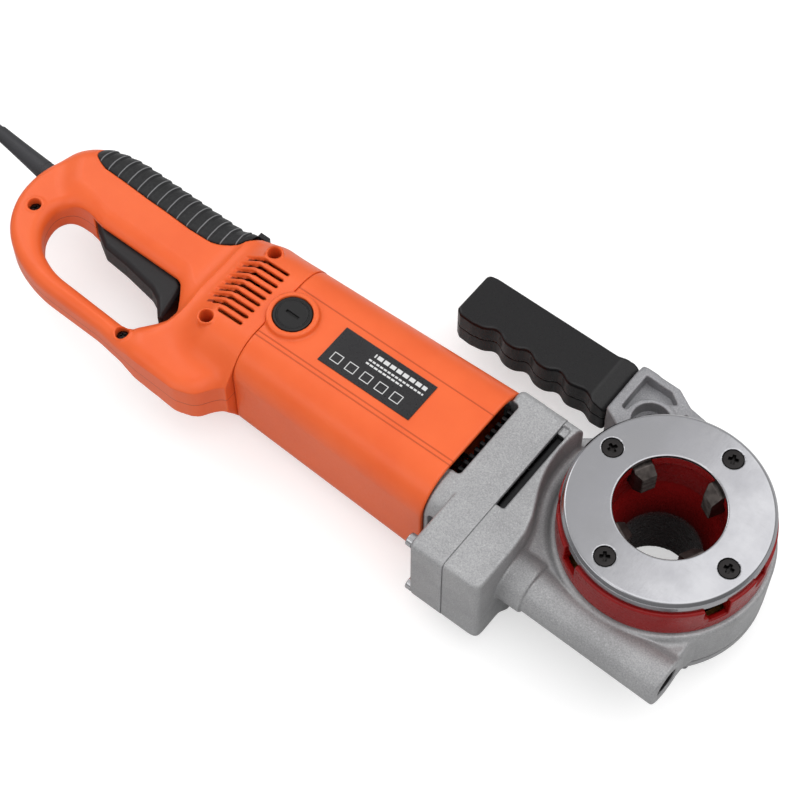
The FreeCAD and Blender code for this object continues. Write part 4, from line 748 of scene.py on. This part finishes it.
def arm_f(x, y, z):
    d = smin(ext(ARM(x, y), z, 31.0, 48.0, 1.6), ext(ARMB(x, y), z, 20.0, 48.0, 1.6), 2.0)
    hub = np.sqrt((x + 50.9) ** 2 + (y - 63.6) ** 2)
    d = smin(d, ext(hub - 15.2, z, 31.0, 48.8, 1.2), 1.5)
    d = smax(d, -ext(hub - 12.0, z, 39.0, 80.0), 0.8)
    d = np.maximum(d, -ext(hub - 4.2, z, 10.0, 80.0))
    far = np.sqrt((x + 14.0) ** 2 + (y - 74.0) ** 2)
    d = smin(d, np.maximum(ext(far - 9.4, z, 31.0, 48.0, 1.4), 66.0 - np.sqrt(x * x + y * y)), 1.2)
    d = np.maximum(d, -ext(far - 4.2, z, 10.0, 80.0))
    d = smax(d, -ext(far - 7.4, z, 43.5, 80.0), 0.6)
    d = smax(d, -ext(TRI(x, y), z, 40.0, 80.0), 1.2)
    d = smax(d, -ext(TRI2(x, y), z, 40.0, 80.0), 1.0)
    d = np.minimum(d, blk(x, y, z, (-118.0, 64.5, 26.0), (-72.0, 79.5, 42.0), 0.8))
    return d


GRIP = Poly([(-77.0, 54.5, 3), (-77.0, 91.0, 3), (-82.0, 91.6, 3), (-92.0, 88.6, 8), (-180.0, 87.8, 9), (-186.5, 86.5, 4), (-186.8, 56.0, 2.5), (-183.0, 53.0, 3), (-174.0, 52.6, 12), (-165.5, 54.0, 12), (-158.5, 58.8, 12), (-150.5, 54.0, 12), (-142.5, 54.0, 12),
             (-135.5, 59.0, 12), (-127.5, 54.2, 12), (-119.5, 54.2, 12), (-112.5, 59.2, 12), (-104.5, 54.6, 12), (-98.0, 56.0, 8), (-93.0, 57.4, 8), (-86.0, 54.0, 5)], 8)


def grip_f(x, y, z):
    g = GRIP(x, y)
    d = ext(g, z, 20.5, 48.3, 2.0)
    # the top falls away towards the bracket, past a soft ridge
    d = smax(d, (z - 48.3) * 0.89 + (x + 88.6) * 0.455, 0.5)
    # parting line round the sides
    d = smax(d, -np.maximum(np.abs(z - 34.4) - 0.28, -(g + 0.45)), 0.25)
    return np.maximum(d, -blk(x, y, z, (-118.2, 64.4, 25.9), (-60.0, 79.6, 42.1)))


def pad_f(x, y, z):
    body = handle_body(x, y, z)
    seat = pad_seat(x, y, body)
    ends = np.clip(-PADP(x, y) / 5.0, 0, 1)
    ends = ends * (2 - ends)
    p = ((x + 423.0) / 8.1 + 0.010 * (z - 44.0)) % 1.0
    # each rib climbs slowly and drops in a short step
    ramp = np.where(p < 0.80, p / 0.80, (1 - p) / 0.20)
    o = body - 0.25 - 1.15 * ends * (0.25 + 0.75 * np.clip(ramp, 0, 1) ** 0.8)
    return smax(o, seat + 0.22, 0.7)


TRIG = Poly([(-396, -22.5, 2), (-396, -33, 4), (-391, -38, 3), (-380, -44.5, 4), (-361, -46.0, 8), (-338, -49.5, 8), (-330.5, -53, 5), (-321.0, -62.8, 1.5), (-318.6, -61, 1.5), (-321.2, -47, 4), (-323.5, -37, 3), (-329, -33, 3), (-386, -24, 3)], 8)


def trigger_f(x, y, z):
    t = TRIG(x, y)
    d = ext(t, z, 34.3, 53.7, 1.5)
    # the long edges are chamfered
    d = smax(d, (t + np.abs(z - 44.0) - 9.7) * 0.7071 + 1.7, 0.7)
    d = np.maximum(d, -ext(np.sqrt((x + 391.0) ** 2 + (y + 28.0) ** 2) - 2.1, z, 0.0, 90.0))
    d = np.maximum(d, -ext(np.sqrt((x + 391.0) ** 2 + (y + 28.0) ** 2) - 4.5, z, 48.8, 90.0))
    return d


def profile(points, steps=6):
    return Poly(points, steps)


BODYP = Poly([(24.4, 0, 0.6), (29.5, 0, 1.5), (29.5, 31, 1.5), (45.7, 31, 1), (45.7, 67.3), (60.6, 67.3, 1.6), (60.6, 89.9, 1.2), (34.5, 89.9, 1.0), (33.0, 66.0, 6), (24.4, 46.0, 6)])
DIE = [63, 153, 243, 333]
NOTCH = [-31, 2.5, 122, 149, 212, 242]
PLATE_SCREWS = [(47.0 * math.cos(math.radians(a)), 47.0 * math.sin(math.radians(a))) for a in (77, 167, 257, 347)]


def turn(x, y, deg):
    c, s = math.cos(math.radians(deg)), math.sin(math.radians(deg))
    return x * c + y * s, -x * s + y * c


def die_head_f(x, y, z):
    rr = np.sqrt(x * x + y * y)
    d = BODYP(rr, z)
    for a in (18, 108, 198, 288):
        u, v = turn(x, y, a)
        key = np.maximum(np.maximum(np.abs(v) - 4.7, np.maximum(rr - 48.2, 40.0 - u)), np.abs(z - 49.6) - 13.0)
        d = smin(d, key, 1.0)
    for a in NOTCH:
        u, v = turn(x, y, a)
        d = smax(d, -np.maximum(np.maximum(np.abs(v) - 4.7, 55.2 - u), 81.0 - z), 0.9)
    for a in DIE:
        u, v = turn(x, y, a)
        d = np.maximum(d, -np.maximum(np.maximum(np.abs(v) - 6.15, -u), 76.0 - z))
    d = np.maximum(d, -ext(np.abs(rr - 52.75) - 4.25, z, 50.0, 75.5))
    d = np.maximum(d, -ext(np.abs(rr - 37.25) - 3.75, z, 20.0, 58.0, 0))
    for cx, cy in PLATE_SCREWS:
        d = np.maximum(d, -np.maximum(np.sqrt((x - cx) ** 2 + (y - cy) ** 2) - 2.6, 76.0 - z))
    # the red lip that carries on up inside the plate's hole
    lip = ext(np.abs(rr - 33.0) - 1.5, z, 89.86, 97.4)
    for a in DIE:
        u, v = turn(x, y, a)
        lip = np.maximum(lip, -np.maximum(np.abs(v) - 6.15, -u))
    return np.minimum(d, lip)


PLATEP = Poly([(34.6, 90.0), (58.9, 90.0, 1.6), (59.2, 97.4, 1.2), (57.2, 100.0, 1.4), (31.35, 100.0, 0.8), (31.35, 97.6, 0.3), (34.6, 97.6)], 8)


def plate_f(x, y, z):
    rr = np.sqrt(x * x + y * y)
    d = PLATEP(rr, z)
    for cx, cy in PLATE_SCREWS:
        c = np.sqrt((x - cx) ** 2 + (y - cy) ** 2)
        d = smax(d, -np.minimum(c - 2.7, np.maximum((c - 6.15) * 0.72 - (z - 99.5) * 0.69, c - 6.15)), 0.35)
    return d


def screws_f(x, y, z):
    d = None
    for i, (cx, cy) in enumerate(PLATE_SCREWS):
        u, v = turn(x - cx, y - cy, (20, 65, 34, 8)[i])
        c = np.sqrt(u * u + v * v)
        cone = np.maximum(np.maximum((c - 5.85) * 0.72 - (z - 99.5) * 0.69, c - 5.75), z - 99.9 + c * c * 0.006)
        head = np.maximum(cone, 95.4 - z)
        shank = np.maximum(c - 2.45, np.maximum(78.0 - z, z - 97.0))
        s = np.minimum(head, shank)
        w = 0.75 + np.clip(z - 97.0, 0, 3) * 0.08
        cross = np.minimum(np.maximum(np.abs(u) - w, np.abs(v) - 2.9), np.maximum(np.abs(v) - w, np.abs(u) - 2.9))
        s = smax(s, -np.maximum(cross, 97.2 - z), 0.15)
        d = s if d is None else np.minimum(d, s)
    return d


def die_f(a):
    def f(x, y, z):
        u, v = turn(x, y, a)
        rr = np.sqrt(x * x + y * y)
        d = np.maximum(np.abs(v) - 6.0, np.maximum(u - 50.0, np.maximum(76.2 - z, np.maximum(z - 95.4, np.minimum(z - 89.8, rr - 34.3)))))
        tooth = np.abs(((z - 76.0) / 2.31) % 1.0 - 0.5) * 2.31 * 0.95
        tip = 23.2 + tooth
        d = np.maximum(d, (tip - u) * 0.75)
        # rake and relief behind the cutting edge
        d = np.maximum(d, (28.5 - u) * 0.64 + (z - 95.4) * 0.77 + 0.4)
        d = np.maximum(d, (25.5 - u) * 0.6 + (v - 4.2) * 0.8)
        return smax(d, (np.abs(v) - 6.0 + z - 95.4) * 0.7071 + 0.35, 0.2)
    return f


def well_screw_f(i):
    sx, sy, sz, _ = SCREWS[i]

    def f(x, y, z):
        u, v = turn(x - sx, y - sy, (12, 48, 75, 30)[i])
        c = np.sqrt(u * u + v * v)
        d = smax(c - 3.75, z - (sz + 2.6) + c * c * 0.075, 0.4)
        d = np.maximum(d, sz - 0.6 - z)
        cross = np.minimum(np.maximum(np.abs(u) - 0.55, np.abs(v) - 2.1), np.maximum(np.abs(v) - 0.55, np.abs(u) - 2.1))
        d = smax(d, -np.maximum(cross, sz + 0.8 - z), 0.12)
        return np.minimum(d, np.maximum(c - 1.9, np.maximum(z - sz, 26.0 - z)))
    return f


def cap_f(sign):
    def f(x, y, z):
        zz = (z - 88.0) if sign > 0 else (1.2 - z)
        c = np.sqrt((x + 244.5) ** 2 + (y - MY) ** 2)
        d = ext(c - 11.8, zz, -12.0 if sign > 0 else -11.5, 0.0, 1.1)
        d = smax(d, -np.maximum(np.abs(c - 9.6) - 0.35, -0.35 - zz), 0.25)
        d = smax(d, -(np.maximum(c - 8.9, -0.25 - zz)), 0.2)
        slot = np.maximum(np.maximum(np.abs(x + 244.5) - 4.4, np.abs(y - MY) - 0.75), -1.6 - zz)
        return smax(d, -slot, 0.3)
    return f


PLUGE = (-548.0, -148.6, 13.1)


def plug_f(x, y, z):
    px, py = x - PLUGE[0], y - PLUGE[1]
    u = px * 0.97342 - py * 0.22902
    v = px * 0.22902 + py * 0.97342
    w = z - 13.1
    body = ext(rrect(v, w, -18.0, 18.0, -13.0, 13.0, 11.0), u, 22.0, 41.0, 2.2)
    k = np.clip(u / 26.0, 0, 1)
    rad = 5.4 + 2.6 * k * k
    neck = ext(np.sqrt(v * v + w * w) - rad, u, 0.2, 26.0, 0.8)
    d = smin(body, neck, 4.5)
    ring = np.abs((u / 4.0) % 1.0 - 0.5) * 4.0 - 0.6
    d = np.maximum(d, np.where((u > 2) & (u < 17), np.minimum(d + 0.7, -ring), -50))
    groove = np.abs(u - 30.0) - 0.5
    d = np.maximum(d, np.minimum(d + 0.5, -groove))
    for s in (-9.5, 9.5):
        c = np.sqrt((v - s) ** 2 + w * w)
        d = np.maximum(d, -np.maximum(c - 2.45, 40.2 - u))
    return d


def relief_f(x, y, z):
    ux, uy = -0.99544, 0.09539
    px, py = x + 494.0, y + 17.7
    t = -(px * ux + py * uy)          # 0 at the cord end, 56 inside the handle
    off = np.sqrt((px * uy - py * ux) ** 2 + (z - 44.0) ** 2)
    q = np.clip(t / 48.0, 0, 1)
    rad = 4.7 + 2.0 * q ** 1.25
    d = ext(off - rad, t, 0.0, 56.0, 0.9)
    return smax(d, -(np.maximum(np.abs(off - rad) - 0.3, np.abs(t - 43.5) - 0.5)), 0.3)


# ------------------------------------------------------------------ building the pieces
def piece(name, f, lo, hi, h, mat, body, nodes, soft=0.45):
    ob = build(name, f, lo, hi, h, soft)
    wear(ob, mat)
    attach(ob, body)
    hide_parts(*nodes)
    return ob


piece("handle_shell", handle_f, (-449, -97, -1), (-254, 19, 86), 1.0, "handle", "machine", ["handle_shell_upper", "handle_shell_lower"])
piece("motor_case", housing_f, (-262, -76, -1), (-112, 23, 89), 1.15, "housing", "machine", ["motor_housing"])
piece("gear_adapter", adapter_f, (-122, -100, 1), (-79, 20, 86), 0.9, "cast", "machine", ["gearcase_adapter"])
piece("gear_head", head_f, (-81, -100, 1), (66, 87, 86), 0.95, "cast", "machine", ["gear_head_casting"])
comb = build("motor_louvres", comb_f, (-114, -49, 56), (-105, 9, 81), 0.5, 0.3)
wear(comb, "black")
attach(comb, "machine")
piece("arm_casting", arm_f, (-120, 47, 19), (-3, 94, 50), 0.8, "cast_arm", "machine", ["support_arm"])
piece("hand_grip", grip_f, (-188, 51, 19), (-76, 93, 50), 0.75, "grip", "machine", ["arm_grip"])
piece("soft_grip", pad_f, (-429, -8, 20), (-307, 20, 67), 0.7, "pad", "machine", ["grip_pad"])
piece("trigger_lever_piece", trigger_f, (-398, -65, 33), (-317, -21, 55), 0.7, "charcoal", "trigger_lever", ["trigger"])
piece("die_ring", die_head_f, (-62, -62, -1), (62, 62, 99), 0.95, "red", "die_head", ["die_head_body"])
piece("front_plate", plate_f, (-60.5, -60.5, 89), (60.5, 60.5, 101), 0.6, "chrome", "die_head", ["cover_plate"], 0.3)
scr = []
for i, (cx, cy) in enumerate(PLATE_SCREWS):
    ob = build("plate_screw_%d" % i, screws_f, (cx - 7, cy - 7, 77), (cx + 7, cy + 7, 101), 0.33, 0.3)
    wear(ob, "dark_steel")
    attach(ob, "die_head")
    scr.append(ob)
for ob in scr:
    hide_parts("plate_screws")
for i, a in enumerate(DIE):
    c, s = math.cos(math.radians(a)), math.sin(math.radians(a))
    xs = [c * 22 - s * 7, c * 22 + s * 7, c * 51 - s * 7, c * 51 + s * 7]
    ys = [s * 22 + c * 7, s * 22 - c * 7, s * 51 + c * 7, s * 51 - c * 7]
    ob = build("chaser_%d" % i, die_f(a), (min(xs) - 1, min(ys) - 1, 75.5), (max(xs) + 1, max(ys) + 1, 96.2), 0.42, 0.3)
    wear(ob, "die")
    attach(ob, "die_head")
    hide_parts("thread_dies")
for i, (sx, sy, sz, _) in enumerate(SCREWS):
    ob = build("well_screw_%d" % i, well_screw_f(i), (sx - 4.5, sy - 4.5, sz - 4), (sx + 4.5, sy + 4.5, sz + 3.4), 0.3, 0.3)
    wear(ob, "dark_steel")
    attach(ob, "machine")
    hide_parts("handle_screws")
piece("brush_cap_top", cap_f(1), (-257, MY - 12.5, 74.5), (-232, MY + 12.5, 89), 0.45, "cap", "machine", ["brush_cap_upper"], 0.3)
piece("brush_cap_under", cap_f(-1), (-257, MY - 12.5, 0.5), (-232, MY + 12.5, 13.5), 0.45, "cap", "machine", ["brush_cap_lower"], 0.3)
plug = piece("mains_plug", plug_f, (-556, -176, -0.5), (-498, -128, 27), 0.7, "cord", "machine", ["plug_body"])
piece("cord_sleeve", relief_f, (-496, -31, 36), (-436, -10, 52), 0.5, "cord", "machine", ["strain_relief"])

# ------------------------------------------------------------------ CAD nodes that stay
KEEP = {
    "head_bottom_cover": "cast", "worm_end_plug": "black", "brush_holders": "bronze", "carbon_brushes": "black", "brush_springs": "steel",
    "field_stator": "lamination", "field_windings": "copper", "rear_bearing_bracket": "black", "armature_bearings": "dark_steel", "worm_bearings": "ground",
    "idler_bushes": "bronze", "drive_ring_bushes": "bronze", "switch_body": "black", "suppressor": "charcoal", "trigger_pin": "steel", "trigger_spring": "steel",
    "selector_switch": "black", "rating_label": "label", "case_screws": "steel", "head_cover_screws": "steel", "cord_clamp": "black",
    "plug_pins": "ground", "arm_bolts": "dark_steel", "armature_shaft": "ground", "armature_core": "lamination", "commutator": "copper", "cooling_fan": "charcoal",
    "armature_windings": "copper", "idler_gear": "ground", "idler_shaft": "ground", "worm_shaft": "ground", "worm_gear": "ground", "drive_sleeve": "bore_shade_steel",
    "worm_wheel": "bronze", "die_retaining_ring": "ground", "selector_lever": "black",
}
for name, key in KEEP.items():
    o = NODES[name]
    for holder in o.material_slots:
        holder.material = MT[key]
    if not o.material_slots:
        o.data.materials.append(MT[key])
    if name in ("head_bottom_cover", "worm_end_plug", "selector_lever", "arm_bolts", "case_screws", "rating_label"):
        bv = o.modifiers.new("soft_edges", "BEVEL")
        bv.width = 0.0004 if name != "rating_label" else 0.00015
        bv.segments = 2
        bv.limit_method = "ANGLE"
        bv.angle_limit = math.radians(40)
        bv.harden_normals = True

# ------------------------------------------------------------------ stage and light
bpy.ops.mesh.primitive_plane_add(size=6.0, location=(-0.2, 0.0, -0.0004))
floor = bpy.context.object
floor.name = "floor"
fm = bpy.data.materials.new("pale_floor")
fm.use_nodes = True
fb = fm.node_tree.nodes["Principled BSDF"]
fb.inputs["Base Color"].default_value = (0.60, 0.60, 0.60, 1)
fb.inputs["Roughness"].default_value = 0.8
fb.inputs["Emission Color"].default_value = (1, 1, 1, 1)
path = fm.node_tree.nodes.new("ShaderNodeLightPath")
lift = fm.node_tree.nodes.new("ShaderNodeMath")
lift.operation = "MULTIPLY"
lift.inputs[1].default_value = 0.50
fm.node_tree.links.new(path.outputs["Is Camera Ray"], lift.inputs[0])
fm.node_tree.links.new(lift.outputs[0], fb.inputs["Emission Strength"])
floor.data.materials.append(fm)

bpy.context.scene.view_settings.view_transform = "Standard"
world = bpy.data.worlds.new("studio")
bpy.context.scene.world = world
world.use_nodes = True
wt = world.node_tree
bg = wt.nodes["Background"]
sky = wt.nodes.new("ShaderNodeTexCoord")
sep = wt.nodes.new("ShaderNodeSeparateXYZ")
wt.links.new(sky.outputs["Generated"], sep.inputs[0])
band = wt.nodes.new("ShaderNodeMapRange")
band.interpolation_type = "SMOOTHSTEP"
band.inputs[1].default_value, band.inputs[2].default_value = 0.10, 0.55
band.inputs[3].default_value, band.inputs[4].default_value = 0.30, 0.86
wt.links.new(sep.outputs[2], band.inputs[0])
wt.links.new(band.outputs[0], bg.inputs[1])
bg.inputs[0].default_value = (1.0, 1.0, 1.0, 1)


def softbox(name, at, target, size, power, color=(1, 1, 1)):
    ld = bpy.data.lights.new(name, "AREA")
    ld.shape = "RECTANGLE"
    ld.size, ld.size_y = size
    ld.energy = power
    ld.color = color
    o = bpy.data.objects.new(name, ld)
    o.location = at
    o.rotation_euler = (Vector(target) - Vector(at)).to_track_quat("-Z", "Y").to_euler()
    bpy.context.scene.collection.objects.link(o)
    return o


softbox("top_light", (0.78, 0.15, 1.75), (0.78, 0.15, 0.0), (2.2, 2.6), 19.0)
softbox("left_light", (-1.5, 0.3, 1.35), (-0.25, -0.02, 0.03), (1.0, 1.2), 6.0)
softbox("front_light", (-0.5, -1.6, 1.0), (-0.15, -0.02, 0.03), (1.4, 0.6), 4.0)
